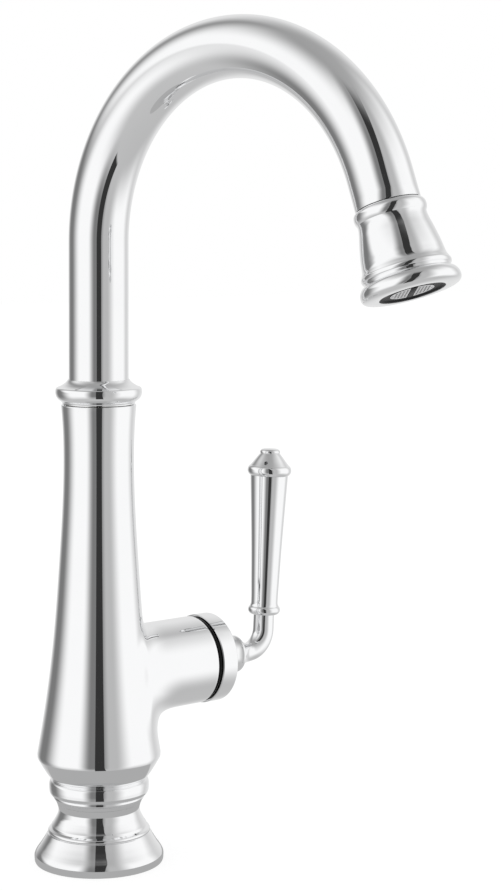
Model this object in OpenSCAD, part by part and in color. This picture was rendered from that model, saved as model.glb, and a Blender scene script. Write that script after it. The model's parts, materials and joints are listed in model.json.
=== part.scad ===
// Gooseneck bar faucet with a side lever valve and a pull-down spray head.
// Origin: centre of the base on the deck plane. +Z up, the spout leans towards -Y, the handle points to +X.

/* [Foot] */
// Diameter of the foot on the deck
foot_d = 54.6; // [50:0.1:60]
// Height of the foot, from the deck to the joint line under the column
foot_h = 24.7; // [22:0.1:30]
// Diameter of the foot's narrow waist
foot_waist_d = 34.6; // [34:0.1:37]
// Height of the upright band round the foot's bottom
foot_band_h = 3.1; // [2:0.1:4]
// Thickness of the rubber gasket under the foot
gasket_t = 1.6; // [1:0.1:2.5]

/* [Column] */
// Height of the column body, from the joint line to its top
column_h = 168; // [160:0.5:200]
// Diameter of the rounded bead at the column's bottom
column_bead_d = 42.2; // [41:0.1:46]
// Diameter of the sharp ridge above the bead
ridge_d = 52.2; // [50:0.1:56]
// Height of the ridge above the joint line
ridge_h = 20.5; // [19:0.1:23]
// Diameter of the column's slim waist
column_waist_d = 29.8; // [29.4:0.1:32]
// Height of the slim waist above the joint line
column_waist_h = 147; // [140:0.5:150]
// Diameter of the column's top rim
column_top_d = 31.6; // [31:0.1:33]

/* [Gooseneck] */
// Outside diameter of the gooseneck tube
tube_od = 25.4; // [24:0.1:26]
// Wall of the gooseneck tube
tube_wall = 1; // [0.8:0.1:1.3]
// Straight riser above the collar
riser_h = 57.9; // [40:0.5:110]
// Centreline radius of the gooseneck's arc
arc_radius = 79; // [60:0.5:110]
// Angle that the arc sweeps
arc_sweep = 160.3; // [150:0.1:172]
// Straight tail after the arc
tail_h = 11.3; // [10:0.1:20]
// Turn of the spout at rest, from straight ahead towards the handle
spout_rest_turn = 8; // [-45:1:45]

/* [Swivel] */
// Diameter of the collar between the column and the gooseneck
collar_d = 36.6; // [35:0.1:40]
// Height of the collar
collar_h = 10.3; // [9:0.1:14]
// Diameter of the spigot that turns inside the column
spigot_d = 21; // [20:0.1:22]
// Length of the spigot below the collar
spigot_h = 41; // [38:0.5:50]
// Bore of the spigot, which the hose passes
spigot_bore_d = 15; // [13:0.1:16]
// Wall of the two swivel bearings
bearing_wall = 1.65; // [1.4:0.05:1.9]

/* [Spray head] */
// Length of the head from the tube's end to its lip
head_h = 32.8; // [31:0.1:40]
// Diameter of the head's top bead
head_bead_d = 27.8; // [27:0.1:30]
// Diameter of the head just above its lower bead
head_bell_d = 31.4; // [30:0.1:33]
// Diameter of the flared lip
lip_d = 38.6; // [37:0.1:42]
// Diameter of the outlet opening
outlet_d = 25.6; // [24:0.1:26.5]
// Depth of the docking neck inside the tube
dock_h = 9.8; // [8:0.1:9.9]

/* [Hose] */
// Outside diameter of the spray hose
hose_d = 11; // [10:0.1:11.4]

/* [Valve] */
// Diameter of the valve barrel
barrel_d = 37.5; // [37:0.1:39]
// Height of the barrel's axis above the deck
barrel_z = 78.2; // [76:0.1:86]
// Reach of the barrel from the column's axis
barrel_reach = 50.4; // [49:0.1:56]
// Thickness of the black ring between the barrel and the hub
ring_t = 2.2; // [1.5:0.1:3]
// Diameter of the hub
hub_d = 38.2; // [37:0.1:40]
// Length of the hub along the barrel's axis
hub_l = 8; // [7.6:0.1:9]
// Diameter of the ceramic cartridge
cartridge_d = 25; // [24.6:0.1:25.4]
// Length of the cartridge's housing up to its shoulder
cartridge_l = 23.5; // [23:0.1:24]
// Diameter of the dome on the hub's face
dome_d = 23; // [22.4:0.1:24]

/* [Lever] */
// Distance from the lever's pivot to the grip's axis
lever_reach = 30; // [28:0.5:40]
// Diameter of the lever's arm
arm_d = 8.7; // [8:0.1:9.4]
// Centreline radius of the arm's bend
bend_radius = 10; // [8:0.1:11]
// Diameter of the bell that covers the dome
bell_d = 15.6; // [15.2:0.1:16.4]
// Height of the grip's lower end above the lever's pivot
grip_base_h = 16.5; // [15:0.1:20]
// Length of the grip
grip_l = 62.4; // [50:0.5:90]
// Diameter of the grip's lower end
grip_low_d = 11.3; // [11:0.1:13]
// Diameter of the grip's upper end
grip_top_d = 16.2; // [15:0.1:18]
// Diameter of the finial's bead
finial_d = 20; // [19:0.1:23]
// Outward lean of the lever at rest, in degrees
lever_lean = 2.9; // [0:0.1:4]
// Outward tilt of the lever from closed to fully open, in degrees
lever_travel = 20; // [15:1:20]

/* [Below the deck] */
// Diameter of the mounting shank
shank_d = 30; // [29.8:0.1:30.4]
// Bore of the mounting shank
shank_bore_d = 25.8; // [25.6:0.1:26.2]
// Length of the shank below the deck
shank_h = 60; // [56:1:62]
// Deck gap between the foot and the rubber washer
deck_gap = 32; // [20:1:34]
// Outside diameter of the washers
washer_d = 48; // [44:1:54]
// Size of the mounting nut across its flats
nut_flats = 40; // [38:1:46]
// Outside diameter of the supply and outlet tubes
supply_d = 6.35; // [6:0.05:6.4]
// Length of the supply tubes below the deck
supply_h = 125; // [120:1:160]
// Diameter of the supply tubes' swaged ends, which the compression fittings go on
supply_end_d = 9.53; // [9:0.01:9.6]
// Length of the swaged ends
supply_end_h = 25; // [20:0.5:26]

/* [Hidden] */

$fn = 96;
chrome = [0.80, 0.81, 0.83];
brass = [0.78, 0.64, 0.36];
steel = [0.62, 0.64, 0.66];
copper = [0.76, 0.46, 0.32];
black = [0.06, 0.06, 0.07];
rubber = [0.12, 0.12, 0.12];
nylon = [0.90, 0.90, 0.87];
ceramic = [0.95, 0.94, 0.90];
braid = [0.55, 0.56, 0.58];

// Clearances shared by the whole part: a running fit, a seated fit, a visible gap and a hair's breadth
run = 0.05;
seat = 0.02;
gap = 0.3;
eps = 0.01;

// Levels along the vertical axis
joint_z = foot_h + gap;
ridge_z = joint_z + ridge_h;
column_waist_z = joint_z + column_waist_h;
column_top_z = joint_z + column_h;
collar_z = column_top_z + 0.5;
collar_top_z = collar_z + collar_h;
arc_z = collar_top_z + riser_h;

// Radii used again and again
tube_r = tube_od / 2;
tube_bore_r = tube_r - tube_wall;
hose_r = hose_d / 2;
shank_r = shank_d / 2;
cavity_r = shank_bore_d / 2;
supply_r = supply_d / 2;
spigot_r = spigot_d / 2;
bearing_bore_r = spigot_r + run;
swivel_bore_r = bearing_bore_r + bearing_wall + run;

// The end of the arc in the spout's own plane, where the straight tail begins
tail_x = arc_radius * (1 - cos(arc_sweep));
tail_z = arc_z + arc_radius * sin(arc_sweep);

// Stations along the tail, from the arc's end
rim_s = tail_h;
head_s = rim_s + gap;
lip_s = rim_s + head_h;
outlet_s = lip_s + 1.9;
neck_s = rim_s - dock_h;

// Stations along the barrel's axis, from the column's axis
cartridge_x = barrel_reach - 20.4;
disc_x = cartridge_x + 3;
moving_x = disc_x + 3.5 + seat;
carrier_x = moving_x + 3;
shoulder_x = cartridge_x + cartridge_l;
neck_end_x = shoulder_x + 3.5;
nut_x = shoulder_x - 11.3;
hub_x = barrel_reach + ring_t + 0.1;
hub_end_x = hub_x + hub_l;
pivot_x = hub_end_x - 0.7;
nut_end_x = neck_end_x + 0.5;

// Valve radii
barrel_r = barrel_d / 2;
cartridge_r = cartridge_d / 2;
chamber_r = cartridge_r - 1.3;
nut_r = cartridge_r + 2.9;
rotor_r = 8;
stem_r = 2.6;
ball_r = 2.5;
dome_r = dome_d / 2;
dome_wall = 1.1;
drive_arm = 10.5;
disc_travel = drive_arm * lever_travel * PI / 180;
port_r = 2.8;
outlet_port = [0, 6];
supply_ports = [[-6.8, -4], [6.8, -4]];

// The three tubes stand round the hose in the shank and bend towards the cartridge's seat wall
tube_bend_r = 7;
tube_circle_r = cavity_r - supply_r - 0.35;
outlet_x = tube_circle_r;
supply_x = sqrt(pow(tube_circle_r, 2) - pow(supply_ports[1][0], 2));
seat_wall_x = outlet_x + tube_bend_r + 0.6;
tube_seat = 3;
tube_gauge = 0.8;
outlet_drop = 20;
outlet_end_z = -shank_h - outlet_drop;

// Lever heights, measured from the pivot in the lever's own frame
grip_top_h = grip_base_h + grip_l;
grip_spigot_r = 3;
finial_spigot_r = 4;

// Points on a curve from a to c that leaves towards b
function curve(a, b, c, n = 8) =
    [for (i = [0:n]) let (t = i / n) (1 - t) * (1 - t) * a + 2 * t * (1 - t) * b + t * t * c];

// Radius of the column between its ridge and its slim waist: a steep root that eases into the waist
function column_sweep(z) =
    let (u = (column_waist_z - z) / (column_waist_z - ridge_z - 1.5),
         share = 0.75 * pow(u, 1.6) + 0.25 * pow(u, 3.6))
    (column_waist_d + (ridge_d - column_waist_d) * share) / 2;

// Radius of the column above its slim waist, opening again to the top rim
function column_neck(z) =
    let (u = (z - column_waist_z) / (column_top_z - column_waist_z))
    (column_waist_d + (column_top_d - column_waist_d) * pow(u, 1.4)) / 2;

// Frames
module turned(points) {
    rotate_extrude() polygon(points);
}

module ring(outer_r, inner_r, h) {
    difference() {
        cylinder(r = outer_r, h = h);
        translate([0, 0, -1]) cylinder(r = inner_r, h = h + 2);
    }
}

// Puts what follows on the barrel's axis, with its own Z along +X and its own -X up
module along_barrel(x) {
    translate([x, 0, barrel_z]) rotate([0, 90, 0]) children();
}

// Puts what follows at a port of the cartridge, given as [sideways, up] from the barrel's axis
module at_port(port, x) {
    along_barrel(x) translate([-port[1], port[0], 0]) children();
}

// The vertical plane of the spout, with its reach along X
module in_spout_plane() {
    rotate([0, 0, spout_rest_turn - 90]) children();
}

// Puts what follows on the tail, a distance s from the arc's end, with its own Z along the tail
module on_tail(s) {
    in_spout_plane() translate([tail_x, 0, tail_z]) rotate([0, arc_sweep, 0]) translate([0, 0, s]) children();
}

// A 2-D section carried along the gooseneck's arc, from one angle to another
module along_arc(from, to) {
    in_spout_plane() translate([arc_radius, 0, arc_z]) rotate([90, 0, 0]) rotate([0, 0, 180 - to])
        rotate_extrude(angle = to - from) translate([arc_radius, 0]) children();
}

// The lever's own frame: origin at its pivot, X along the arm, Z along the grip
module in_lever() {
    translate([pivot_x, 0, barrel_z]) rotate([0, lever_lean, 0]) children();
}

// Foot
module base_gasket() {
    color(rubber) ring(foot_d / 2 - 1.6, shank_r + 4, gasket_t);
}

module base_flange() {
    r = foot_d / 2;
    waist_r = foot_waist_d / 2;
    band_z = gap + foot_band_h;
    // Height of the small step between the bell and the waist
    step_z = foot_h * 0.53;
    profile = concat(
        [[shank_r + 0.2, gap], [r - 0.5, gap], [r, gap + 0.5], [r, band_z]],
        curve([r - 0.2, band_z + 0.5], [r - 1.2, band_z + 3.2], [r - 3.4, band_z + 5.7]),
        curve([r - 3.4, band_z + 5.7], [r - 4.6, step_z - 1.6], [r - 5.5, step_z - 0.6], 4),
        curve([r - 5.6, step_z - 0.5], [r - 5.4, step_z + 0.8], [r - 6.6, step_z + 1], 5),
        curve([r - 6.8, step_z + 1.2], [waist_r + 0.3, step_z + 4.2], [waist_r, foot_h - 3.6]),
        curve([waist_r, foot_h - 2.2], [waist_r + 0.1, foot_h - 1], [waist_r + 0.8, foot_h], 4),
        [[shank_r + 0.2, foot_h]]
    );
    color(chrome) difference() {
        turned(profile);
        ring(foot_d / 2 - 1.6 + seat, shank_r + 4 - seat, gasket_t + eps);
    }
}

// Column casting with its valve barrel, bored for the swivel, the tubes and the cartridge
module column_body() {
    bead_r = column_bead_d / 2;
    foot_top_r = foot_waist_d / 2 + 0.8;
    ridge_r = ridge_d / 2;
    bead_z = joint_z + 6;
    cone_z = joint_z + 9.4;
    steps = 30;
    profile = concat(
        [[0, joint_z], [foot_top_r, joint_z]],
        curve([foot_top_r + 0.5, joint_z + 1], [bead_r + 0.4, joint_z + 2.6], [bead_r, bead_z], 6),
        curve([bead_r, bead_z], [bead_r, bead_z + 2.6], [bead_r - 1.2, cone_z], 5),
        [[ridge_r - 0.25, ridge_z - 1.4], [ridge_r, ridge_z]],
        [for (i = [0:steps]) let (z = ridge_z + 1.5 + (column_waist_z - ridge_z - 1.5) * i / steps) [column_sweep(z), z]],
        [for (i = [1:6]) let (z = column_waist_z + (column_top_z - column_waist_z) * i / 6) [column_neck(z), z]],
        [[0, column_top_z]]
    );
    hose_bore_r = hose_r + 2.5;
    swivel_floor_z = column_top_z - spigot_h - 1;
    cavity_top_z = barrel_z + barrel_r + 11;
    pocket_low = 18;
    pocket_high = outlet_port[1] + supply_r + 1;
    pocket_half = supply_ports[1][0] + supply_r + 0.5;
    color(chrome) difference() {
        union() {
            turned(profile);
            along_barrel(0) cylinder(r = barrel_r, h = barrel_reach - 0.4);
            along_barrel(barrel_reach - 0.4) cylinder(r1 = barrel_r, r2 = barrel_r - 0.4, h = 0.4);
            along_barrel(0) cylinder(r1 = barrel_r + 2.2, r2 = barrel_r, h = 28);
        }
        // Socket of the shank, the tubes' cavity, the hose bore and the swivel bore
        translate([0, 0, joint_z - 1]) cylinder(r = shank_r + seat, h = 16);
        translate([0, 0, joint_z + 14]) cylinder(r = cavity_r, h = cavity_top_z - joint_z - 14);
        translate([0, 0, cavity_top_z - 1]) cylinder(r = hose_bore_r, h = column_h);
        translate([0, 0, swivel_floor_z]) cylinder(r = swivel_bore_r, h = spigot_h + 2);
        translate([0, 0, column_top_z - 1]) cylinder(r = swivel_bore_r + 1.5, h = 2);
        // Room for the tubes' bends
        translate([0, -pocket_half, barrel_z - pocket_low])
            cube([seat_wall_x, 2 * pocket_half, pocket_low + pocket_high]);
        // Seat of the cartridge, thread of its nut and the passages to its ports
        along_barrel(cartridge_x) cylinder(r = cartridge_r + run, h = barrel_reach);
        along_barrel(nut_x - 0.2) cylinder(r = nut_r + run, h = barrel_reach);
        for (port = concat(supply_ports, [outlet_port])) {
            at_port(port, seat_wall_x - 1) cylinder(r = supply_r + seat, h = tube_seat + 1.5);
            at_port(port, seat_wall_x) cylinder(r = port_r, h = cartridge_x - seat_wall_x + 1);
        }
        // Tapped hole of the swivel screw, at the back
        translate([0, 0, swivel_screw_z()]) rotate([-90, 0, 0]) cylinder(r = swivel_screw_r + seat, h = 30);
    }
}

// Mounting hardware
module threaded_shank() {
    thread_pitch = 3;
    groove = 0.5;
    ridges = floor((shank_h - 4) / thread_pitch);
    color(brass) difference() {
        translate([0, 0, -shank_h]) cylinder(r = shank_r, h = shank_h + joint_z + 13.9);
        translate([0, 0, -shank_h - 1]) cylinder(r = cavity_r, h = shank_h + joint_z + 20);
        for (i = [0:ridges - 1])
            translate([0, 0, -shank_h + 2 + i * thread_pitch]) rotate_extrude()
                polygon([[shank_r + 0.1, 0], [shank_r - groove, 0.9], [shank_r + 0.1, 1.8]]);
    }
}

rubber_t = 3;
steel_t = 1.5;
module rubber_washer() {
    color(rubber) translate([0, 0, -deck_gap - rubber_t]) ring(washer_d / 2, shank_r + seat, rubber_t);
}

module steel_washer() {
    color(steel) translate([0, 0, -deck_gap - rubber_t - steel_t]) ring(washer_d / 2 - 1.5, shank_r + seat, steel_t);
}

module mounting_nut() {
    nut_h = 10;
    corner_r = nut_flats / 2 / cos(30);
    color(brass) translate([0, 0, -deck_gap - rubber_t - steel_t - nut_h]) difference() {
        union() {
            cylinder(r = corner_r, h = nut_h - 1.5, $fn = 6);
            translate([0, 0, nut_h - 1.5]) cylinder(r = nut_flats / 2, h = 1.5);
        }
        translate([0, 0, -1]) cylinder(r = shank_r + seat, h = nut_h + 2);
    }
}

// A straight rise, a bend towards the barrel and a straight end, with the bend a hair off the straight runs' size
module riser_run(x, port, low_z, end_x, r, bend_r) {
    bend_z = barrel_z + port[1] - tube_bend_r;
    translate([x, port[0], low_z]) cylinder(r = r, h = bend_z - low_z + eps);
    translate([x + tube_bend_r, port[0], bend_z]) rotate([90, 0, 0]) rotate([0, 0, 90]) rotate_extrude(angle = 90)
        translate([tube_bend_r, 0]) circle(r = bend_r);
    at_port(port, x + tube_bend_r - eps) cylinder(r = r, h = end_x - x - tube_bend_r + eps);
}

// A tube that rises inside the shank and ends in the seat wall
module riser_tube(x, port, low_z) {
    bore_r = supply_r - tube_gauge;
    end_x = seat_wall_x + tube_seat;
    difference() {
        riser_run(x, port, low_z, end_x, supply_r, supply_r - run);
        riser_run(x, port, low_z - 1, end_x + 1, bore_r, bore_r + run);
    }
}

// A supply tube whose lower end is swaged out for a compression fitting
module inlet_tube(port) {
    end_r = supply_end_d / 2;
    taper_z = -supply_h + supply_end_h;
    tube_z = taper_z + 2.5;
    profile = [
        [end_r - tube_gauge, -supply_h], [end_r, -supply_h], [end_r, taper_z], [supply_r, tube_z],
        [supply_r - tube_gauge, tube_z], [end_r - tube_gauge, taper_z]
    ];
    color(copper) {
        riser_tube(supply_x, port, tube_z - eps);
        translate([supply_x, port[0], 0]) turned(profile);
    }
}

module hot_inlet_tube() {
    inlet_tube(supply_ports[0]);
}

module cold_inlet_tube() {
    inlet_tube(supply_ports[1]);
}

module outlet_tube() {
    color(copper) riser_tube(outlet_x, outlet_port, outlet_end_z);
}

// Push-in connector on the end of the outlet tube, which the hose loop under the deck joins
module outlet_connector() {
    r = supply_r + 0.7;
    barb_h = 4;
    socket_z = 13;
    socket_h = 3;
    color(brass) translate([outlet_x, 0, outlet_end_z - socket_z]) difference() {
        union() {
            cylinder(r = r - 0.6, h = barb_h);
            translate([0, 0, barb_h]) cylinder(r = r, h = socket_z + socket_h - barb_h);
        }
        translate([0, 0, -1]) cylinder(r = supply_r - 1.2, h = socket_z + 2);
        translate([0, 0, socket_z]) cylinder(r = supply_r + seat, h = socket_h + 1);
    }
}

hose_end_z = -shank_h - 4;
module lower_hose() {
    color(braid) translate([0, 0, hose_end_z]) cylinder(r = hose_r, h = collar_z - 0.1 - hose_end_z);
}

module hose_coupling() {
    color(brass) translate([0, 0, hose_end_z - 14]) difference() {
        union() {
            cylinder(r = hose_r - 0.6, h = 4);
            translate([0, 0, 4]) cylinder(r = hose_r + 0.35, h = 9.9);
        }
        translate([0, 0, -1]) cylinder(r = hose_r - 2, h = 13);
    }
}

// Swivel: two nylon bearings in the column, a spigot in the tube and the collar that hides the joint
lower_bearing_h = 10;
upper_bearing_h = 12;
module lower_bearing() {
    color(nylon) translate([0, 0, column_top_z - spigot_h - 1 + eps])
        ring(bearing_bore_r + bearing_wall, bearing_bore_r, lower_bearing_h);
}

module upper_bearing() {
    color(nylon) {
        difference() {
            union() {
                translate([0, 0, column_top_z - upper_bearing_h - 0.5])
                    cylinder(r = bearing_bore_r + bearing_wall, h = upper_bearing_h);
                translate([0, 0, column_top_z - 1 + eps]) cylinder(r = swivel_bore_r + 1.4, h = 1.45 - eps);
            }
            translate([0, 0, column_top_z - upper_bearing_h - 1]) cylinder(r = bearing_bore_r, h = upper_bearing_h + 3);
        }
    }
}

swivel_screw_r = 2.5;
dog_r = 1.7;
swivel_groove = 1.5;
function swivel_screw_z() = column_top_z - spigot_h + lower_bearing_h + 2.7;

module swivel_screw() {
    dog_y = spigot_r - swivel_groove + 0.3;
    head_y = column_waist_d / 2 - 0.3;
    color(steel) translate([0, 0, swivel_screw_z()]) rotate([-90, 0, 0]) difference() {
        union() {
            translate([0, 0, dog_y]) cylinder(r = dog_r, h = head_y - dog_y);
            translate([0, 0, spigot_r + 0.6]) cylinder(r = swivel_screw_r, h = head_y - spigot_r - 0.6);
        }
        translate([0, 0, head_y - 1.5]) cylinder(r = 1.45, h = 2, $fn = 6);
    }
}

spigot_shoulder_h = 2;
o_ring_r = 0.9;
o_ring_levels = [column_top_z - 21.2, column_top_z - 16.8];
module spout_spigot() {
    socket_h = 17;
    groove_r = spigot_r - 0.15;
    color(brass) difference() {
        union() {
            translate([0, 0, column_top_z - spigot_h + 0.2]) cylinder(r = spigot_r, h = spigot_h + 0.8);
            translate([0, 0, collar_z]) cylinder(r = tube_r + 1.3, h = spigot_shoulder_h);
            translate([0, 0, collar_z + spigot_shoulder_h]) cylinder(r = tube_bore_r - seat, h = socket_h);
        }
        translate([0, 0, column_top_z - spigot_h - 1]) cylinder(r = spigot_bore_d / 2, h = spigot_h + 30);
        translate([0, 0, swivel_screw_z() - dog_r - gap])
            ring(spigot_r + 1, spigot_r - swivel_groove, 2 * (dog_r + gap));
        for (z = o_ring_levels)
            translate([0, 0, z - o_ring_r - 0.1]) ring(spigot_r + 1, groove_r, 2 * o_ring_r + 0.2);
    }
}

module spigot_o_rings() {
    centre_r = swivel_bore_r - run - o_ring_r;
    color(rubber) for (z = o_ring_levels)
        translate([0, 0, z]) rotate_extrude() translate([centre_r, 0]) circle(r = o_ring_r, $fn = 32);
}

module swivel_collar() {
    r = collar_d / 2;
    bore_r = tube_r + seat;
    shoulder_r = tube_r + 1.3 + seat;
    profile = concat(
        [[shoulder_r, collar_z], [r - 2.1, collar_z]],
        curve([r - 1.9, collar_z + 0.5], [r - 0.1, collar_z + 1.8], [r, collar_z + 4.6], 7),
        [[r - 0.05, collar_z + 5.2], [r - 0.4, collar_z + 6.6]],
        curve([r - 0.7, collar_z + 6.7], [tube_r + 0.9, collar_z + 7.1], [tube_r + 0.15, collar_top_z]),
        [[bore_r, collar_top_z], [bore_r, collar_z + spigot_shoulder_h], [shoulder_r, collar_z + spigot_shoulder_h]]
    );
    color(chrome) turned(profile);
}

// Gooseneck tube: straight riser, arc and straight tail. Bending draws the wall in by a hair along the arc.
module gooseneck_run(r, arc_r, low_z, end) {
    translate([0, 0, low_z]) cylinder(r = r, h = arc_z - low_z + eps);
    along_arc(0, arc_sweep) circle(r = arc_r);
    on_tail(-eps) cylinder(r = r, h = end + eps);
}

module spout_tube() {
    tube_low_z = collar_z + spigot_shoulder_h;
    color(chrome) difference() {
        gooseneck_run(tube_r, tube_r - run, tube_low_z, tail_h);
        gooseneck_run(tube_bore_r, tube_bore_r + run, tube_low_z - 1, tail_h + 1);
    }
}

module dock_insert() {
    neck_r = head_neck_r();
    color(black) on_tail(neck_s - 0.8) ring(tube_bore_r - seat, neck_r + 0.15, rim_s - neck_s + 0.7);
}

// Hose inside the gooseneck, and the short stretch of it that pays out behind the head
stretch_from = 12;
stretch_to = 4;
function arc_angle(s) = arc_sweep - s / arc_radius * 180 / PI;

module gooseneck_hose() {
    color(braid) {
        translate([0, 0, collar_z]) cylinder(r = hose_r, h = arc_z - collar_z + eps);
        along_arc(0, arc_angle(stretch_from)) circle(r = hose_r - run);
    }
}

module hose_stretch() {
    color(braid) along_arc(arc_angle(stretch_from), arc_angle(stretch_to)) circle(r = hose_r);
}

// Spray head
function head_neck_r() = tube_bore_r - 1;
core_r = 11.6;
core_end_s = lip_s - 10.2;
seal_t = 1;
shell_bore_r = core_r + seat;
shell_roof_t = 2.5;

module head_shell() {
    bead_r = head_bead_d / 2;
    bell_r = head_bell_d / 2;
    lip_r = lip_d / 2;
    bell_s = lip_s - 11.4;
    low_bead_r = bell_r + 1.1;
    neck_r = head_neck_r();
    profile = concat(
        [[neck_r + seat, head_s], [tube_r - 0.3, head_s]],
        curve([tube_r, head_s + 0.5], [bead_r + 0.5, head_s + 2.6], [bead_r - 0.7, head_s + 4.9], 8),
        curve([bead_r - 0.75, head_s + 5.6], [bead_r + 0.6, head_s + 9.4], [bead_r + 1.2, head_s + 14.4], 8),
        curve([bead_r + 1.2, head_s + 14.4], [bell_r - 0.4, bell_s - 2], [bell_r, bell_s], 5),
        curve([bell_r + 0.3, bell_s + 1], [low_bead_r + 0.7, bell_s + 3.2], [low_bead_r - 0.2, bell_s + 5.4], 7),
        curve([low_bead_r - 0.1, bell_s + 5.9], [low_bead_r + 0.8, lip_s - 2.6], [lip_r, lip_s - 0.5], 6),
        [[lip_r, lip_s + 0.1], [lip_r - 0.4, lip_s + 0.4], [outlet_d / 2 + 0.4, outlet_s], [outlet_d / 2, outlet_s - 0.4]],
        [[outlet_d / 2, core_end_s], [shell_bore_r, core_end_s]],
        [[shell_bore_r, head_s + shell_roof_t], [neck_r + seat, head_s + shell_roof_t]]
    );
    color(chrome) on_tail(0) turned(profile);
}

// Plastic waterway inside the head, with the neck that docks in the tube's end
module head_core() {
    neck_r = head_neck_r();
    core_s = head_s + shell_roof_t + eps;
    color(nylon) on_tail(0) difference() {
        union() {
            translate([0, 0, neck_s]) cylinder(r = neck_r, h = core_s - neck_s + 1);
            translate([0, 0, core_s]) cylinder(r = core_r, h = core_end_s - core_s);
        }
        translate([0, 0, neck_s - 1]) cylinder(r = ferrule_r + seat, h = 3.01);
        translate([0, 0, neck_s]) cylinder(r = valve_r + seat, h = 13);
        translate([0, 0, neck_s + 12]) cylinder(r = 3.4, h = 10);
        translate([0, 0, core_end_s - 13]) cylinder(r = 8.6, h = 14);
    }
}

ferrule_r = hose_r + 1.1;
valve_r = 5;
module hose_ferrule() {
    top_s = gap + eps - stretch_to;
    end_s = neck_s + 2;
    color(brass) on_tail(0) difference() {
        translate([0, 0, top_s]) cylinder(r = ferrule_r, h = end_s - top_s);
        translate([0, 0, top_s + 1]) cylinder(r = 3.6, h = end_s);
    }
}

module check_valve() {
    color(nylon) on_tail(neck_s + 2 + eps) difference() {
        cylinder(r = valve_r, h = 9.5);
        translate([0, 0, -1]) cylinder(r = 3, h = 8);
        for (turn = [0:60:300]) rotate([0, 0, turn]) translate([3.1, 0, 5]) cylinder(r = 0.9, h = 6, $fn = 24);
    }
}

module outlet_seal() {
    color(rubber) on_tail(core_end_s + eps) ring(outlet_d / 2 - 0.4, 8.8, seal_t);
}

// Black outlet insert: a rim, a bar across the middle and a plate with feed holes behind the screens
screen_s = outlet_s - 1.7;
screen_t = 0.5;
bar_w = 2.4;
module aerator_housing() {
    rim_r = outlet_d / 2 - seat;
    low_s = core_end_s + seal_t + 2 * eps;
    plate_t = 2;
    color(black) on_tail(0) difference() {
        union() {
            translate([0, 0, low_s]) cylinder(r = rim_r, h = plate_t);
            translate([0, 0, low_s]) ring(rim_r, rim_r - 1.4, outlet_s - 0.6 - low_s);
            translate([-rim_r + 0.5, -bar_w / 2, low_s]) cube([2 * rim_r - 1, bar_w, outlet_s - 1 - low_s]);
        }
        for (side = [-1, 1], turn = [30:30:150])
            rotate([0, 0, side * turn]) translate([6.4, 0, low_s - 1]) cylinder(r = 1, h = plate_t + 2, $fn = 24);
    }
}

module outlet_screens() {
    screen_r = outlet_d / 2 - 1.4 - 2 * seat;
    pitch = 2;
    hole_r = 0.55;
    rows = floor((screen_r - bar_w / 2 - 1) / (pitch * sin(60)));
    color(steel) on_tail(screen_s) for (side = [0, 180]) rotate([0, 0, side]) difference() {
        intersection() {
            cylinder(r = screen_r, h = screen_t);
            translate([-screen_r, bar_w / 2 + seat, -1]) cube([2 * screen_r, screen_r, screen_t + 2]);
        }
        for (row = [0:rows - 1], col = [-6:6]) {
            x = (col + (row % 2) / 2) * pitch;
            y = bar_w / 2 + 1.2 + row * pitch * sin(60);
            if (norm([x, y]) < screen_r - 1)
                translate([x, y, -1]) cylinder(r = hole_r, h = screen_t + 2, $fn = 16);
        }
    }
}

// Valve, fixed side
module cartridge_base() {
    color(nylon) difference() {
        along_barrel(cartridge_x + eps) cylinder(r = cartridge_r, h = 3 - eps);
        for (port = concat(supply_ports, [outlet_port])) {
            at_port(port, cartridge_x - 1) cylinder(r = port_r, h = 6);
            at_port(port, cartridge_x - 1) cylinder(r = port_r + 1.4, h = 1.6);
        }
    }
}

module port_seals() {
    color(rubber) for (port = concat(supply_ports, [outlet_port]))
        at_port(port, cartridge_x + eps) ring(port_r + 1.4 - seat, port_r, 0.6 - 2 * eps);
}

module cartridge_housing() {
    neck_r = rotor_r + 1.8;
    color(nylon) difference() {
        union() {
            along_barrel(disc_x + eps) cylinder(r = cartridge_r, h = shoulder_x - disc_x - eps);
            along_barrel(shoulder_x - 1) cylinder(r = neck_r, h = neck_end_x - shoulder_x + 1);
        }
        along_barrel(disc_x - 1) cylinder(r = chamber_r, h = cartridge_l - 3 + 0.9);
        along_barrel(disc_x) cylinder(r = rotor_r + run, h = neck_end_x - disc_x + 1);
    }
}

module fixed_disc() {
    color(ceramic) difference() {
        along_barrel(disc_x + 2 * eps) cylinder(r = chamber_r - seat, h = 3.5 - 2 * eps);
        for (port = concat(supply_ports, [outlet_port]))
            at_port(port, disc_x - 1) cylinder(r = port_r - 0.3, h = 6);
    }
}

module retaining_nut() {
    color(brass) difference() {
        along_barrel(nut_x) cylinder(r = nut_r, h = nut_end_x - nut_x);
        along_barrel(nut_x - 1) cylinder(r = cartridge_r + run, h = shoulder_x - nut_x + 1 + eps);
        along_barrel(nut_x) cylinder(r = rotor_r + 2, h = nut_end_x - nut_x + 1);
        // Groove for the hub's screw and two slots for a pin spanner
        along_barrel(hub_screw_x() - hub_screw_r - gap) ring(nut_r + 1, nut_r - 1.2, 2 * (hub_screw_r + gap));
        for (side = [-1, 1])
            along_barrel(nut_end_x - 1) translate([-1.2, side * (nut_r - 3.2) - 2, 0]) cube([2.4, 4, 3]);
    }
}

module bearing_ring() {
    color(black) along_barrel(barrel_reach + eps) ring(barrel_r - 0.6, nut_r + run, ring_t - eps);
}

// Hub: a chrome cap that turns on the retaining nut and carries the slotted dome
hub_screw_r = 1.25;
function hub_screw_x() = hub_x + 2.4;

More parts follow.
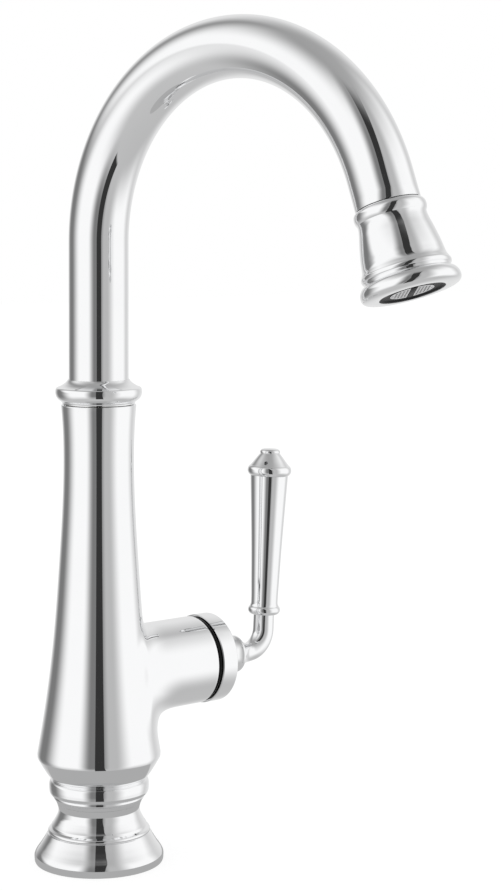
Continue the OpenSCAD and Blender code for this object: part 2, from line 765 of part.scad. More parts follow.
module handle_hub() {
    r = hub_d / 2;
    bore_r = nut_r + run;
    dome_in_r = dome_r - dome_wall;
    inner_x = nut_end_x + 0.2;
    slot_half = stem_r + gap;
    swing = asin(slot_half / dome_in_r);
    profile = concat(
        [[bore_r, 0], [r - 0.5, 0], [r, 0.5], [r, hub_l - 1]],
        curve([r, hub_l - 1], [r, hub_l], [r - 1, hub_l], 4),
        [[r - 2.2, hub_l - 0.5], [0, hub_l - 0.5], [0, inner_x - hub_x], [bore_r, inner_x - hub_x]]
    );
    color(chrome) difference() {
        union() {
            along_barrel(hub_x) turned(profile);
            intersection() {
                along_barrel(pivot_x) sphere(r = dome_r);
                along_barrel(inner_x) cylinder(r = dome_r + 1, h = 30);
            }
        }
        along_barrel(pivot_x) sphere(r = dome_in_r);
        along_barrel(inner_x - 1) cylinder(r = rotor_r + 2.1, h = pivot_x - inner_x + 1);
        // Slot for the lever's stem
        translate([pivot_x, slot_half, barrel_z]) rotate([90, 0, 0]) linear_extrude(2 * slot_half)
            polygon(concat([[0, 0]], [for (i = [0:6])
                let (turn = swing + 2 - (lever_travel + lever_lean + 2 * swing + 4) * i / 6)
                (dome_r + 4) * [cos(turn), sin(turn)]]));
        // Tapped hole of the hub's screw, underneath
        translate([hub_screw_x(), 0, barrel_z - r - 1]) cylinder(r = hub_screw_r + seat, h = r - bore_r + 3);
    }
}

module hub_screw() {
    r = hub_d / 2;
    tip_r = nut_r - 1;
    color(steel) translate([hub_screw_x(), 0, barrel_z - r + 0.5]) difference() {
        cylinder(r = hub_screw_r, h = r - 0.5 - tip_r);
        translate([0, 0, -1]) cylinder(r = 0.75, h = 2, $fn = 6);
    }
}

// Rotor: turns in the cartridge's neck with the hub and holds the lever's pivot pin in its fork
module valve_rotor() {
    flange_r = rotor_r + 1.5;
    flange_x = shoulder_x - 2.3;
    top_x = pivot_x + 2.2;
    slot_half = stem_r + 0.2;
    slot_low = stem_r + 1.4;
    slot_high = stem_r + 3.6;
    color(nylon) difference() {
        union() {
            along_barrel(flange_x) cylinder(r = flange_r, h = shoulder_x - 0.15 - flange_x);
            along_barrel(flange_x) cylinder(r = rotor_r, h = top_x - flange_x);
        }
        translate([flange_x - 1, -slot_half, barrel_z - slot_low]) cube([30, 2 * slot_half, slot_low + slot_high]);
        translate([pivot_x, 20, barrel_z]) rotate([90, 0, 0]) cylinder(r = pin_r + seat, h = 40);
    }
}

pin_r = 1.25;
module pivot_pin() {
    color(steel) translate([pivot_x, rotor_r - 0.4, barrel_z]) rotate([90, 0, 0]) cylinder(r = pin_r, h = 2 * rotor_r - 0.8);
}

// Lever: a steel stem through the pivot with a ball on its inner end
module lever_stem() {
    tail_r = 1.9;
    color(steel) difference() {
        in_lever() {
            rotate([0, -lever_lean, 0]) {
                translate([-drive_arm, 0, 0]) sphere(r = ball_r);
                translate([-drive_arm, 0, 0]) rotate([0, 90, 0]) cylinder(r = tail_r, h = drive_arm);
            }
            sphere(r = stem_r + 0.1);
            rotate([0, 90, 0]) cylinder(r = stem_r, h = dome_r + 4);
        }
        translate([pivot_x, 20, barrel_z]) rotate([90, 0, 0]) cylinder(r = pin_r + run, h = 40);
    }
}

module lever_arm() {
    r = arm_d / 2;
    bell_r = bell_d / 2;
    skirt_gap = dome_r + gap;
    bell_x = 9;
    bead_x = dome_r + 2.6;
    neck_x = bead_x + 5.4;
    bore_r = stem_r + seat;
    bend_x = lever_reach - bend_radius;
    bell_profile = concat(
        [[0, bell_x], [bell_r - 0.1, bell_x], [bell_r - 0.1, bead_x - 0.8]],
        curve([bell_r - 0.1, bead_x - 0.8], [bell_r + 0.5, bead_x + 1.2], [bell_r - 1, bead_x + 2.6], 6),
        curve([bell_r - 1.3, bead_x + 2.8], [r, bead_x + 3.4], [r - 0.3, neck_x], 6),
        [[0, neck_x]]
    );
    color(chrome) difference() {
        in_lever() {
            rotate([0, 90, 0]) turned(bell_profile);
            translate([neck_x - 1, 0, 0]) rotate([0, 90, 0]) cylinder(r = r - 0.3, h = bend_x - neck_x + 1 + eps);
            translate([bend_x, 0, bend_radius]) rotate([90, 0, 0]) rotate([0, 0, -90])
                rotate_extrude(angle = 90) translate([bend_radius, 0]) circle(r = r);
            translate([lever_reach, 0, bend_radius]) cylinder(r = r, h = grip_base_h - bend_radius - eps);
            translate([lever_reach, 0, grip_base_h - 1]) cylinder(r = grip_spigot_r, h = 13);
        }
        in_lever() {
            sphere(r = skirt_gap);
            rotate([0, 90, 0]) cylinder(r = bore_r, h = dome_r + 4.1);
        }
    }
}

module lever_grip() {
    low_r = grip_low_d / 2;
    top_r = grip_top_d / 2;
    bead_r = low_r + 1.55;
    body_h = grip_l - 5;
    profile = concat(
        [[grip_spigot_r + seat, 0], [bead_r - 1.9, 0]],
        curve([bead_r - 1.2, 0.1], [bead_r + 0.5, 1.6], [bead_r - 0.3, 3.2], 6),
        curve([bead_r - 0.5, 3.5], [low_r + 0.1, 3.9], [low_r, 5.2], 4),
        [for (i = [0:8]) let (u = i / 8) [low_r + (top_r - low_r) * (0.78 * u + 0.22 * u * u), 5.6 + (body_h - 0.6) * u]],
        [[finial_spigot_r + seat, grip_l], [finial_spigot_r + seat, grip_l - 9], [0, grip_l - 9], [0, 13]],
        [[grip_spigot_r + seat, 13]]
    );
    color(chrome) in_lever() translate([lever_reach, 0, grip_base_h]) turned(profile);
}

// Finial with its small fixing screw in the cone
finial_screw_r = 0.8;
finial_screw_turn = -143;
finial_screw_h = 5.9;
module finial() {
    r = finial_d / 2;
    h = 12;
    profile = concat(
        [[0, -8], [finial_spigot_r, -8], [finial_spigot_r, 0], [r - 1.8, 0]],
        curve([r - 1.1, 0.1], [r + 0.7, 2.2], [r - 0.9, 4.4], 8),
        curve([r - 1.2, 4.7], [r - 4, 6.4], [r - 5.6, h - 1.9], 8),
        curve([r - 5.6, h - 1.9], [r - 5.7, h - 0.4], [r - 7.4, h - 0.1], 5),
        [[0, h]]
    );
    color(chrome) in_lever() translate([lever_reach, 0, grip_top_h + eps]) difference() {
        turned(profile);
        rotate([0, 0, finial_screw_turn]) translate([3, 0, finial_screw_h]) rotate([0, 90, 0])
            cylinder(r = finial_screw_r + seat, h = 12);
    }
}

module finial_screw() {
    color(steel) in_lever() translate([lever_reach, 0, grip_top_h]) rotate([0, 0, finial_screw_turn])
        translate([3.1, 0, finial_screw_h]) rotate([0, 90, 0]) difference() {
            cylinder(r = finial_screw_r, h = 2);
            translate([0, 0, 1.2]) cylinder(r = 0.45, h = 2, $fn = 6);
        }
}

// Moving ceramic disc and its carrier, drawn at the closed end of their travel
moving_r = chamber_r - disc_travel / 2 - 0.6;
module moving_disc() {
    color(ceramic) difference() {
        along_barrel(moving_x) translate([disc_travel / 2, 0, 0]) cylinder(r = moving_r, h = 3);
        along_barrel(moving_x - 1) translate([disc_travel / 2, 0, 0]) cylinder(r = moving_r - 3.2, h = 2.4);
    }
}

module disc_carrier() {
    boss_end_x = pivot_x - drive_arm + 1.3;
    boss_r = ball_r + 1.9;
    color(nylon) difference() {
        union() {
            along_barrel(carrier_x + eps) translate([disc_travel / 2, 0, 0]) cylinder(r = moving_r, h = 3);
            along_barrel(carrier_x + 1) cylinder(r = boss_r, h = boss_end_x - carrier_x - 1);
        }
        along_barrel(pivot_x - drive_arm - ball_r - 0.2) cylinder(r = ball_r + 0.15, h = 20);
    }
}

base_gasket();
base_flange();
column_body();
threaded_shank();
rubber_washer();
steel_washer();
mounting_nut();
hot_inlet_tube();
cold_inlet_tube();
outlet_tube();
outlet_connector();
lower_hose();
hose_coupling();
lower_bearing();
upper_bearing();
swivel_screw();
cartridge_base();
cartridge_housing();
port_seals();
fixed_disc();
retaining_nut();
bearing_ring();
swivel_collar();
spout_tube();
spout_spigot();
spigot_o_rings();
dock_insert();
gooseneck_hose();
hose_stretch();
head_shell();
head_core();
hose_ferrule();
check_valve();
outlet_seal();
aerator_housing();
outlet_screens();
handle_hub();
hub_screw();
valve_rotor();
pivot_pin();
lever_stem();
lever_arm();
lever_grip();
finial();
finial_screw();
moving_disc();
disc_carrier();
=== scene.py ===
"""Looks of a polished single-lever bar faucet with a pull-down spray head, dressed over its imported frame."""

import json
import logging
import math
from collections.abc import Callable, Iterator, Sequence
from contextlib import contextmanager
from dataclasses import dataclass, field
from enum import Enum

import bmesh
import bpy
import numpy as np
from mathutils import Matrix, Vector

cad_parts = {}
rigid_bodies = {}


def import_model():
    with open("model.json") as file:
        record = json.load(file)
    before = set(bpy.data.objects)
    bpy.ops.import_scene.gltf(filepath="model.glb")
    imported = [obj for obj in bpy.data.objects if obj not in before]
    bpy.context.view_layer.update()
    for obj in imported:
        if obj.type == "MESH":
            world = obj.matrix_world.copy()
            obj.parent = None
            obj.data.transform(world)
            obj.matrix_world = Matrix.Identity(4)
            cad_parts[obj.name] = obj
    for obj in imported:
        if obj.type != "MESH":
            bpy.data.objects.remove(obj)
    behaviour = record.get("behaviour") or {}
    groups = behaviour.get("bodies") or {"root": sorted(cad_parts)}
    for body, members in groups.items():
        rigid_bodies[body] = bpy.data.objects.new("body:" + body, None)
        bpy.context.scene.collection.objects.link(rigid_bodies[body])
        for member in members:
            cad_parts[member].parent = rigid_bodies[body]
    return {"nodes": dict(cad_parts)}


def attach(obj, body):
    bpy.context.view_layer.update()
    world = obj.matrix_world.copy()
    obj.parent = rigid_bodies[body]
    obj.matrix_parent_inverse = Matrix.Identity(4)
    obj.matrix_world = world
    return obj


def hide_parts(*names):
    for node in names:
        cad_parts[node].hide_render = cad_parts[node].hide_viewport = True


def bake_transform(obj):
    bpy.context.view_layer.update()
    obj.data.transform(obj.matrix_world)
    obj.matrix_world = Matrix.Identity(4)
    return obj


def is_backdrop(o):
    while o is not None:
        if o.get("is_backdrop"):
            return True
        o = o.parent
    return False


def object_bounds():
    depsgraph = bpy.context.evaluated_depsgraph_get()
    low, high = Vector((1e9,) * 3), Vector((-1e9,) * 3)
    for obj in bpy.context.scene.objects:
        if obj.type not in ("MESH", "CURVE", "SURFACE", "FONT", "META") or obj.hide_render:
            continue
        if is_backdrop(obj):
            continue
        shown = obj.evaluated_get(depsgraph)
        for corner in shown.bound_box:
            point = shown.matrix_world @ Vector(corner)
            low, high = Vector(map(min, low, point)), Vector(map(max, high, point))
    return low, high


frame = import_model()

Piece = bpy.types.Object
LOG = logging.getLogger("faucet")
MM = 0.001
SAME_SPOT = 0.001 * MM
CREASE = math.radians(35)
FULL_TURN = math.tau
KNOT_STEPS = 7


class Turn(Enum):
    """How an outline passes through a knot."""

    SMOOTH = "AUTO"
    SHARP = "VECTOR"


class Part(Enum):
    """The moving bodies that pieces ride on."""

    FIXED = "root"
    SPOUT = "spout"
    SPRAY = "spray_head"
    HUB = "hub"
    LEVER = "lever"


@dataclass(frozen=True)
class Knot:
    """One point of a turned outline, in millimetres from the axis and along it."""

    r: float
    z: float
    turn: Turn = Turn.SMOOTH


def smooth(*pairs: tuple[float, float]) -> list[Knot]:
    """Knots that the outline passes through in one flowing line."""
    return [Knot(r, z) for r, z in pairs]


def sharp(*pairs: tuple[float, float]) -> list[Knot]:
    """Knots where the outline turns a corner."""
    return [Knot(r, z, Turn.SHARP) for r, z in pairs]


def shift(x: float = 0.0, y: float = 0.0, z: float = 0.0) -> Matrix:
    """A move along the axes, in millimetres."""
    return Matrix.Translation((x * MM, y * MM, z * MM))


def turned(degrees: float, axis: str) -> Matrix:
    """A turn about one of the axes."""
    return Matrix.Rotation(math.radians(degrees), 4, axis)


def activate(piece: Piece) -> None:
    """Selects one object alone and makes it the active one."""
    for other in bpy.context.view_layer.objects:
        other.select_set(False)
    piece.select_set(True)
    bpy.context.view_layer.objects.active = piece


@contextmanager
def editing(piece: Piece) -> Iterator[None]:
    """Opens a piece in edit mode for the block's length, with all its points selected.

    Args:
        piece: The mesh object to edit.
    """
    activate(piece)
    bpy.ops.object.mode_set(mode="EDIT")
    bpy.ops.mesh.select_mode(type="VERT")
    bpy.ops.mesh.select_all(action="SELECT")
    try:
        yield
    finally:
        bpy.ops.object.mode_set(mode="OBJECT")


def select_open(piece: Piece, test: Callable[[Vector], bool]) -> None:
    """Selects the open edges of the piece in edit mode whose points pass a test of their place.

    Args:
        piece: The mesh object that is open in edit mode.
        test: Says whether a place belongs to the selection.
    """
    bpy.ops.mesh.select_all(action="DESELECT")
    others = dict.fromkeys(("use_wire", "use_multi_face", "use_non_contiguous", "use_verts"), False)
    bpy.ops.mesh.select_non_manifold(**others)
    mesh = bmesh.from_edit_mesh(piece.data)
    for vertex in mesh.verts:
        if vertex.select and not test(vertex.co):
            vertex.select = False
    mesh.select_flush(False)
    bmesh.update_edit_mesh(piece.data)


def close_up() -> None:
    """Merges doubles of the mesh in edit mode and turns its faces outwards."""
    bpy.ops.mesh.select_all(action="SELECT")
    bpy.ops.mesh.remove_doubles(threshold=SAME_SPOT)
    bpy.ops.mesh.normals_make_consistent(inside=False)


def trace(outline: Sequence[Knot], closed: bool, detail: int) -> Piece:
    """Draws an outline as a curve in the XZ plane and turns it into a chain of edges.

    Args:
        outline: The knots, in order.
        closed: Whether the last knot joins the first.
        detail: Points between two knots.

    Returns:
        The chain, whose points are in order.
    """
    curve = bpy.data.curves.new("outline", "CURVE")
    curve.dimensions = "3D"
    curve.resolution_u = detail
    spline = curve.splines.new("BEZIER")
    spline.bezier_points.add(len(outline) - 1)
    for point, knot in zip(spline.bezier_points, outline):
        point.co = (knot.r * MM, 0, knot.z * MM)
        point.handle_left_type = knot.turn.value
        point.handle_right_type = knot.turn.value
    spline.use_cyclic_u = closed
    chain = bpy.data.objects.new("outline", curve)
    bpy.context.scene.collection.objects.link(chain)
    activate(chain)
    bpy.ops.object.convert(target="MESH")
    return bpy.context.object


def lathe(
    name: str, outline: Sequence[Knot], closed: bool = True, sides: int = 192, detail: int = KNOT_STEPS
) -> Piece:
    """Spins an outline round the Z axis.

    Args:
        name: Name of the new piece.
        outline: The knots, in order.
        closed: Whether the last knot joins the first, which makes a ring with a bore.
        sides: Steps of the spin.
        detail: Points between two knots.

    Returns:
        The turned piece, with its axis on Z.
    """
    piece = trace(outline, closed, detail)
    piece.name = name
    with editing(piece):
        bpy.ops.mesh.spin(steps=sides, angle=FULL_TURN, center=(0, 0, 0), axis=(0, 0, 1))
        close_up()
    return piece


@dataclass(frozen=True)
class Ring:
    """One ring of a swept piece: the frame that it lies in and its radius in millimetres."""

    frame: Matrix
    r: float


def draw_rings(rings: Sequence[Ring]) -> None:
    """Extrudes the selected open edge of the mesh in edit mode from the first ring through the others.

    Args:
        rings: The rings, of which the selected edge already lies on the first.
    """
    mesh = bmesh.from_edit_mesh(bpy.context.edit_object.data)
    for last, ring in zip(rings, rings[1:]):
        bpy.ops.mesh.extrude_edges_indiv()
        back = last.frame.inverted()
        for vertex in mesh.verts:
            if vertex.select:
                local = back @ vertex.co
                local.z = 0
                vertex.co = ring.frame @ (local.normalized() * ring.r * MM)
    bmesh.update_edit_mesh(bpy.context.edit_object.data)


def sweep(name: str, rings: Sequence[Ring], sides: int, caps: bool = False) -> Piece:
    """Draws a circle out along a row of rings.

    Args:
        name: Name of the new piece.
        rings: The rings, in order.
        sides: Points of each ring.
        caps: Whether both ends are closed. Otherwise the last ring is joined to the first.

    Returns:
        The swept piece.
    """
    row = list(rings) if caps else [*rings, rings[0]]
    fill = "NGON" if caps else "NOTHING"
    bpy.ops.mesh.primitive_circle_add(vertices=sides, radius=row[0].r * MM, fill_type=fill)
    piece = bpy.context.object
    piece.name = name
    place(piece, row[0].frame)
    with editing(piece):
        draw_rings(row)
        if caps:
            bpy.ops.mesh.edge_face_add()
        close_up()
    return piece


def cylinder(name: str, r: float, h: float, sides: int) -> Piece:
    """Adds a plain cylinder that stands on the origin, as a cutter or a blank.

    Args:
        name: Name of the new object.
        r: Radius in millimetres.
        h: Height in millimetres.
        sides: Sides of the cylinder.

    Returns:
        The cylinder.
    """
    middle = (0, 0, h * MM / 2)
    bpy.ops.mesh.primitive_cylinder_add(vertices=sides, radius=r * MM, depth=h * MM, location=middle)
    piece = bpy.context.object
    piece.name = name
    return place(piece, Matrix.Identity(4))


def place(piece: Piece, where: Matrix) -> Piece:
    """Moves a piece and puts its place in its mesh.

    Args:
        piece: The object to move.
        where: The move, in metres.

    Returns:
        The same object, at the origin.
    """
    piece.data.transform(where @ piece.matrix_basis)
    piece.matrix_basis = Matrix.Identity(4)
    return piece


def join(name: str, pieces: Sequence[Piece]) -> Piece:
    """Joins objects into one piece.

    Args:
        name: Name of the joined piece.
        pieces: The objects, all at the origin.

    Returns:
        The joined piece.
    """
    activate(pieces[0])
    for other in pieces[1:]:
        other.select_set(True)
    bpy.ops.object.join()
    joined = bpy.context.object
    joined.name = name
    return joined


def prism(name: str, edge: Sequence[tuple[float, float]], h: float) -> Piece:
    """Raises a flat outline from the XY plane.

    Args:
        name: Name of the new piece.
        edge: The outline's corners in millimetres, in order.
        h: Height in millimetres.

    Returns:
        The closed solid.
    """
    mesh = bpy.data.meshes.new(name)
    mesh.from_pydata([(x * MM, y * MM, 0) for x, y in edge], [], [list(range(len(edge)))])
    piece = bpy.data.objects.new(name, mesh)
    bpy.context.scene.collection.objects.link(piece)
    with editing(piece):
        bpy.ops.mesh.extrude_region_move(TRANSFORM_OT_translate={"value": (0, 0, h * MM)})
        close_up()
    return piece


def read_points(piece: Piece) -> np.ndarray:
    """The places of a mesh's points in millimetres, one a row."""
    points = np.empty(len(piece.data.vertices) * 3)
    piece.data.vertices.foreach_get("co", points)
    return points.reshape(-1, 3) / MM


def read_outline(outline: Sequence[Knot]) -> list[tuple[float, float]]:
    """Radius and height along a drawn outline, in millimetres."""
    chain = trace(outline, False, KNOT_STEPS)
    stations = [(float(r), float(z)) for r, _, z in read_points(chain)]
    bpy.data.objects.remove(chain)
    return stations


def plain(value: object) -> object:
    """Vectors and arrays as plain lists of numbers."""
    if isinstance(value, (int, float)):
        return float(value)
    return [plain(part) for part in value]


def cut(piece: Piece, tool: Piece) -> None:
    """Cuts a tool's shape out of a piece and deletes the tool.

    Args:
        piece: The piece that is cut.
        tool: The closed object that is taken away.
    """
    activate(piece)
    modifier = piece.modifiers.new("cut", "BOOLEAN")
    modifier.operation = "DIFFERENCE"
    modifier.solver = "EXACT"
    modifier.object = tool
    bpy.ops.object.modifier_apply(modifier=modifier.name)
    bpy.data.objects.remove(tool)


def soften(piece: Piece) -> None:
    """Shades a piece smooth except along its sharp edges."""
    activate(piece)
    bpy.ops.object.shade_smooth_by_angle(angle=CREASE)


class Signal:
    """A shader value that takes Python's operators and adds the Math nodes for them."""

    def __init__(self, graph: "Graph", socket: bpy.types.NodeSocket) -> None:
        """Wraps an output socket of a node in the graph."""
        self.graph = graph
        self.socket = socket

    def _math(self, operation: str, *others: "Signal | float", swap: bool = False) -> "Signal":
        """Adds one Math node.

        Args:
            operation: The node's operation.
            others: The other values.
            swap: Whether this value comes after the first of the others.

        Returns:
            The node's result.
        """
        values: list[Signal | float] = [self, *others]
        if swap:
            values[0], values[1] = values[1], values[0]
        return self.graph.get("ShaderNodeMath", {"operation": operation}, dict(enumerate(values)))

    def __add__(self, other: "Signal | float") -> "Signal":
        """Sum."""
        return self._math("ADD", other)

    def __sub__(self, other: "Signal | float") -> "Signal":
        """Difference."""
        return self._math("SUBTRACT", other)

    def __rsub__(self, other: float) -> "Signal":
        """Difference from a number."""
        return self._math("SUBTRACT", other, swap=True)

    def __mul__(self, other: "Signal | float") -> "Signal":
        """Product."""
        return self._math("MULTIPLY", other)

    __radd__ = __add__
    __rmul__ = __mul__

    def sine(self) -> "Signal":
        """Sine of the value in radians."""
        return self._math("SINE")

    def size(self) -> "Signal":
        """The value without its sign."""
        return self._math("ABSOLUTE")

    def angle_to(self, other: "Signal") -> "Signal":
        """Angle of the point whose height is this value and whose reach is the other, in radians."""
        return self._math("ARCTAN2", other)

    def rise(self) -> "Signal":
        """Angle whose sine is the value, in radians."""
        return self._math("ARCSINE")

    def step(self, low: float, high: float) -> "Signal":
        """A soft step from 0 at low to 1 at high, or the other way round if low is above high."""
        span = {"Value": self, "From Min": low, "From Max": high}
        return self.graph.get("ShaderNodeMapRange", {"interpolation_type": "SMOOTHSTEP"}, span)


class Graph:
    """The nodes of one material or of the world."""

    def __init__(self, owner: bpy.types.Material | bpy.types.World) -> None:
        """Starts on the emptied node tree of a material or a world."""
        owner.use_nodes = True
        self.tree = owner.node_tree
        self.tree.nodes.clear()

    def add(self, kind: str, settings: dict | None = None, inputs: dict | None = None) -> bpy.types.Node:
        """Adds a node, sets it up and fills or links its sockets.

        Args:
            kind: The node's type.
            settings: Properties of the node, set first.
            inputs: Values or signals by the socket's name or number.

        Returns:
            The node.
        """
        node = self.tree.nodes.new(kind)
        for key, value in (settings or {}).items():
            setattr(node, key, value)
        for key, value in (inputs or {}).items():
            if isinstance(value, Signal):
                self.tree.links.new(value.socket, node.inputs[key])
            else:
                node.inputs[key].default_value = value
        return node

    def get(
        self, kind: str, settings: dict | None = None, inputs: dict | None = None, output: str | int = 0
    ) -> Signal:
        """Adds a node as add does and gives one of its outputs as a signal."""
        return Signal(self, self.add(kind, settings, inputs).outputs[output])

    def place(self, coordinates: str, turn: Matrix) -> Signal:
        """Coordinates of the kind that is named, in the frame that a matrix leads to."""
        spot = self.get("ShaderNodeTexCoord", output=coordinates)
        values = {"Vector": spot, "Location": turn.translation, "Rotation": turn.to_euler("XYZ")}
        return self.get("ShaderNodeMapping", {"vector_type": "POINT"}, values)

    def axes(self, vector: Signal) -> list[Signal]:
        """The three parts of a vector."""
        node = self.add("ShaderNodeSeparateXYZ", None, {0: vector})
        return [Signal(self, part) for part in node.outputs]

    def noise(self, vector: Signal, scale: float, detail: float = 2.0) -> Signal:
        """Cloudy noise of a scale given in cells per metre."""
        return self.get("ShaderNodeTexNoise", None, {"Vector": vector, "Scale": scale, "Detail": detail})

    def blend(self, share: Signal, low: Sequence[float], high: Sequence[float]) -> Signal:
        """A colour between two colours."""
        values = {0: share, 6: (*low, 1), 7: (*high, 1)}
        return self.get("ShaderNodeMix", {"data_type": "RGBA"}, values, 2)

    def bump(self, height: Signal, depth: float) -> Signal:
        """A surface normal from a height, whose full range is a depth in millimetres."""
        return self.get("ShaderNodeBump", None, {"Height": height, "Distance": depth * MM, "Strength": 1.0})


@dataclass(frozen=True)
class Finish:
    """What every finish shares: a name, two tones that clouds mix, its gloss and the record's slot for it."""

    name: str
    tone: tuple[float, float, float]
    shade: tuple[float, float, float]
    metallic: float
    roughness: float
    gloss_change: float
    grain: float
    depth: float
    shine: float = 0.5
    slot: str = ""

    def height(self, graph: Graph, spot: Signal) -> Signal:
        """Height of the surface's fine relief, from 0 to 1."""
        return graph.noise(spot, self.grain, 3.0)

    def colour(self, graph: Graph, spot: Signal) -> Signal:
        """Colour over the surface."""
        return graph.blend(graph.noise(spot, self.grain / 9), self.shade, self.tone)

    def gloss(self, graph: Graph, spot: Signal) -> Signal:
        """Roughness over the surface."""
        clouds = graph.noise(spot, self.grain / 14, 4.0)
        return clouds * self.gloss_change + (self.roughness - self.gloss_change / 2)

    def material(self, name: str, way: Matrix) -> bpy.types.Material:
        """Builds the finish's material for pieces of one way.

        Args:
            name: Name of the material.
            way: Leads from the piece's frame to the one whose Z axis the patterns follow.

        Returns:
            The new material.
        """
        material = bpy.data.materials.new(name)
        graph = Graph(material)
        spot = graph.place("Object", way)
        values = {
            "Base Color": self.colour(graph, spot),
            "Roughness": self.gloss(graph, spot),
            "Metallic": self.metallic,
            "Specular IOR Level": self.shine,
            "Normal": graph.bump(self.height(graph, spot), self.depth),
        }
        surface = graph.get("ShaderNodeBsdfPrincipled", None, values)
        graph.add("ShaderNodeOutputMaterial", None, {"Surface": surface})
        return material


@dataclass(frozen=True)
class Polished(Finish):
    """Bright plating: mirror gloss with a faint buffing haze and a slow, shallow waviness."""

    wave: float = 70.0

    def height(self, graph: Graph, spot: Signal) -> Signal:
        """The slow waves that a buffed surface keeps, with a trace of fine scratches."""
        return graph.noise(spot, self.wave, 1.0) * 0.9 + graph.noise(spot, self.grain * 4, 2.0) * 0.1

    def gloss(self, graph: Graph, spot: Signal) -> Signal:
        """Mirror gloss that a haze dulls in places."""
        haze = graph.noise(spot, self.wave * 2, 5.0).step(0.35, 0.8)
        return haze * self.gloss_change + self.roughness


@dataclass(frozen=True)
class Turned(Finish):
    """Metal or plastic from a lathe, with fine rings along one axis."""

    pitch: float = 0.25

    def height(self, graph: Graph, spot: Signal) -> Signal:
        """Fine tool rings, broken by noise."""
        rings = (graph.axes(spot)[2] * (FULL_TURN / (self.pitch * MM))).sine() * 0.5 + 0.5
        return rings * 0.7 + graph.noise(spot, self.grain, 3.0) * 0.3


@dataclass(frozen=True)
class Braided(Finish):
    """Woven steel or nylon sleeve whose strands cross in two spirals."""

    strands: int = 12
    lay: float = 9.0

    def weave(self, graph: Graph, spot: Signal) -> Signal:
        """Which of two crossing strands is on top, from 0 to 1."""
        x, y, z = graph.axes(spot)
        around = y.angle_to(x) * self.strands
        along = z * (FULL_TURN * self.strands / (self.lay * MM * 4))
        return (around + along).sine() * (around - along).sine() * 0.5 + 0.5

    def height(self, graph: Graph, spot: Signal) -> Signal:
        """Strands that rise and dive."""
        return self.weave(graph, spot) * 0.85 + graph.noise(spot, self.grain, 2.0) * 0.15

    def colour(self, graph: Graph, spot: Signal) -> Signal:
        """Darker where a strand dives under its neighbour: painted shade in the weave's dips."""
        # The dark second tone is painted shade where a strand dips under its neighbour.
        return graph.blend(self.weave(graph, spot).step(0.15, 0.75), self.shade, self.tone)


class Finishes(Enum):
    """The finishes of the faucet, one for each kind of surface."""

    CHROME = Polished(
        "polished_chrome", (0.955, 0.957, 0.962), (0.93, 0.934, 0.942), 1.0, 0.02, 0.02, 500.0, 0.002,
        slot="chrome",
    )
    BLACK = Polished(
        "gloss_black", (0.004, 0.004, 0.004), (0.006, 0.006, 0.006), 0.0, 0.12, 0.06, 700.0, 0.004,
        shine=0.06, slot="black_plastic",
    )
    INSERT = Finish(
        "moulded_black", (0.006, 0.006, 0.007), (0.011, 0.011, 0.012), 0.0, 0.34, 0.12, 2500.0, 0.01,
        shine=0.03, slot="black_plastic",
    )
    SCREEN = Turned(
        "stamped_steel", (0.82, 0.82, 0.83), (0.7, 0.7, 0.71), 1.0, 0.3, 0.15, 1800.0, 0.006, slot="screen"
    )
    STEEL = Turned("bright_steel", (0.66, 0.66, 0.67), (0.5, 0.5, 0.51), 1.0, 0.24, 0.12, 1500.0, 0.008)
    BRASS = Turned("raw_brass", (0.80, 0.62, 0.30), (0.66, 0.49, 0.22), 1.0, 0.28, 0.14, 1200.0, 0.01)
    COPPER = Finish("drawn_copper", (0.83, 0.47, 0.32), (0.60, 0.31, 0.20), 1.0, 0.27, 0.18, 600.0, 0.008)
    RUBBER = Finish("soft_rubber", (0.03, 0.03, 0.03), (0.018, 0.018, 0.018), 0.0, 0.75, 0.15, 2200.0, 0.03)
    NYLON = Turned("white_nylon", (0.86, 0.86, 0.82), (0.78, 0.78, 0.74), 0.0, 0.42, 0.12, 1500.0, 0.008)
    CERAMIC = Finish("lapped_ceramic", (0.92, 0.91, 0.87), (0.87, 0.86, 0.81), 0.0, 0.14, 0.06, 1800.0, 0.003)
    # The braid's dark second tone is painted shade in the weave's dips, not a colour of the strands.
    BRAID = Braided(
        "woven_sleeve", (0.45, 0.45, 0.46), (0.10, 0.10, 0.105), 0.6, 0.38, 0.15, 2500.0, 0.12,
        slot="hose_braid",
    )


@dataclass
class Stock:
    """The materials made so far, and the work of dressing pieces in them."""

    made: dict[str, bpy.types.Material] = field(default_factory=dict)

    def dress(self, piece: Piece, finish: Finish, way: "Way") -> None:
        """Gives a piece one finish all over, building its material on first use.

        Args:
            piece: The piece to dress.
            finish: The finish.
            way: The axis that the finish's rings or strands go round.
        """
        name = f"{finish.name}_{way.name.lower()}"
        if name not in self.made:
            self.made[name] = finish.material(name, way.value.inverted())
        piece.data.materials.clear()
        piece.data.materials.append(self.made[name])

    def mount(self, piece: Piece, finish: Finishes, way: "Way", part: Part, node: str) -> None:
        """Shades and dresses a finished piece, hangs it on its body and lets it stand for a CAD node.

        Args:
            piece: The new piece.
            finish: Its finish.
            way: The axis that the finish follows.
            part: The body that carries it.
            node: The CAD node that it stands for.
        """
        soften(piece)
        self.dress(piece, finish.value, way)
        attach(piece, part.value)
        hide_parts(node)
        LOG.info("%s rides on %s and stands for %s", piece.name, part.value, node)


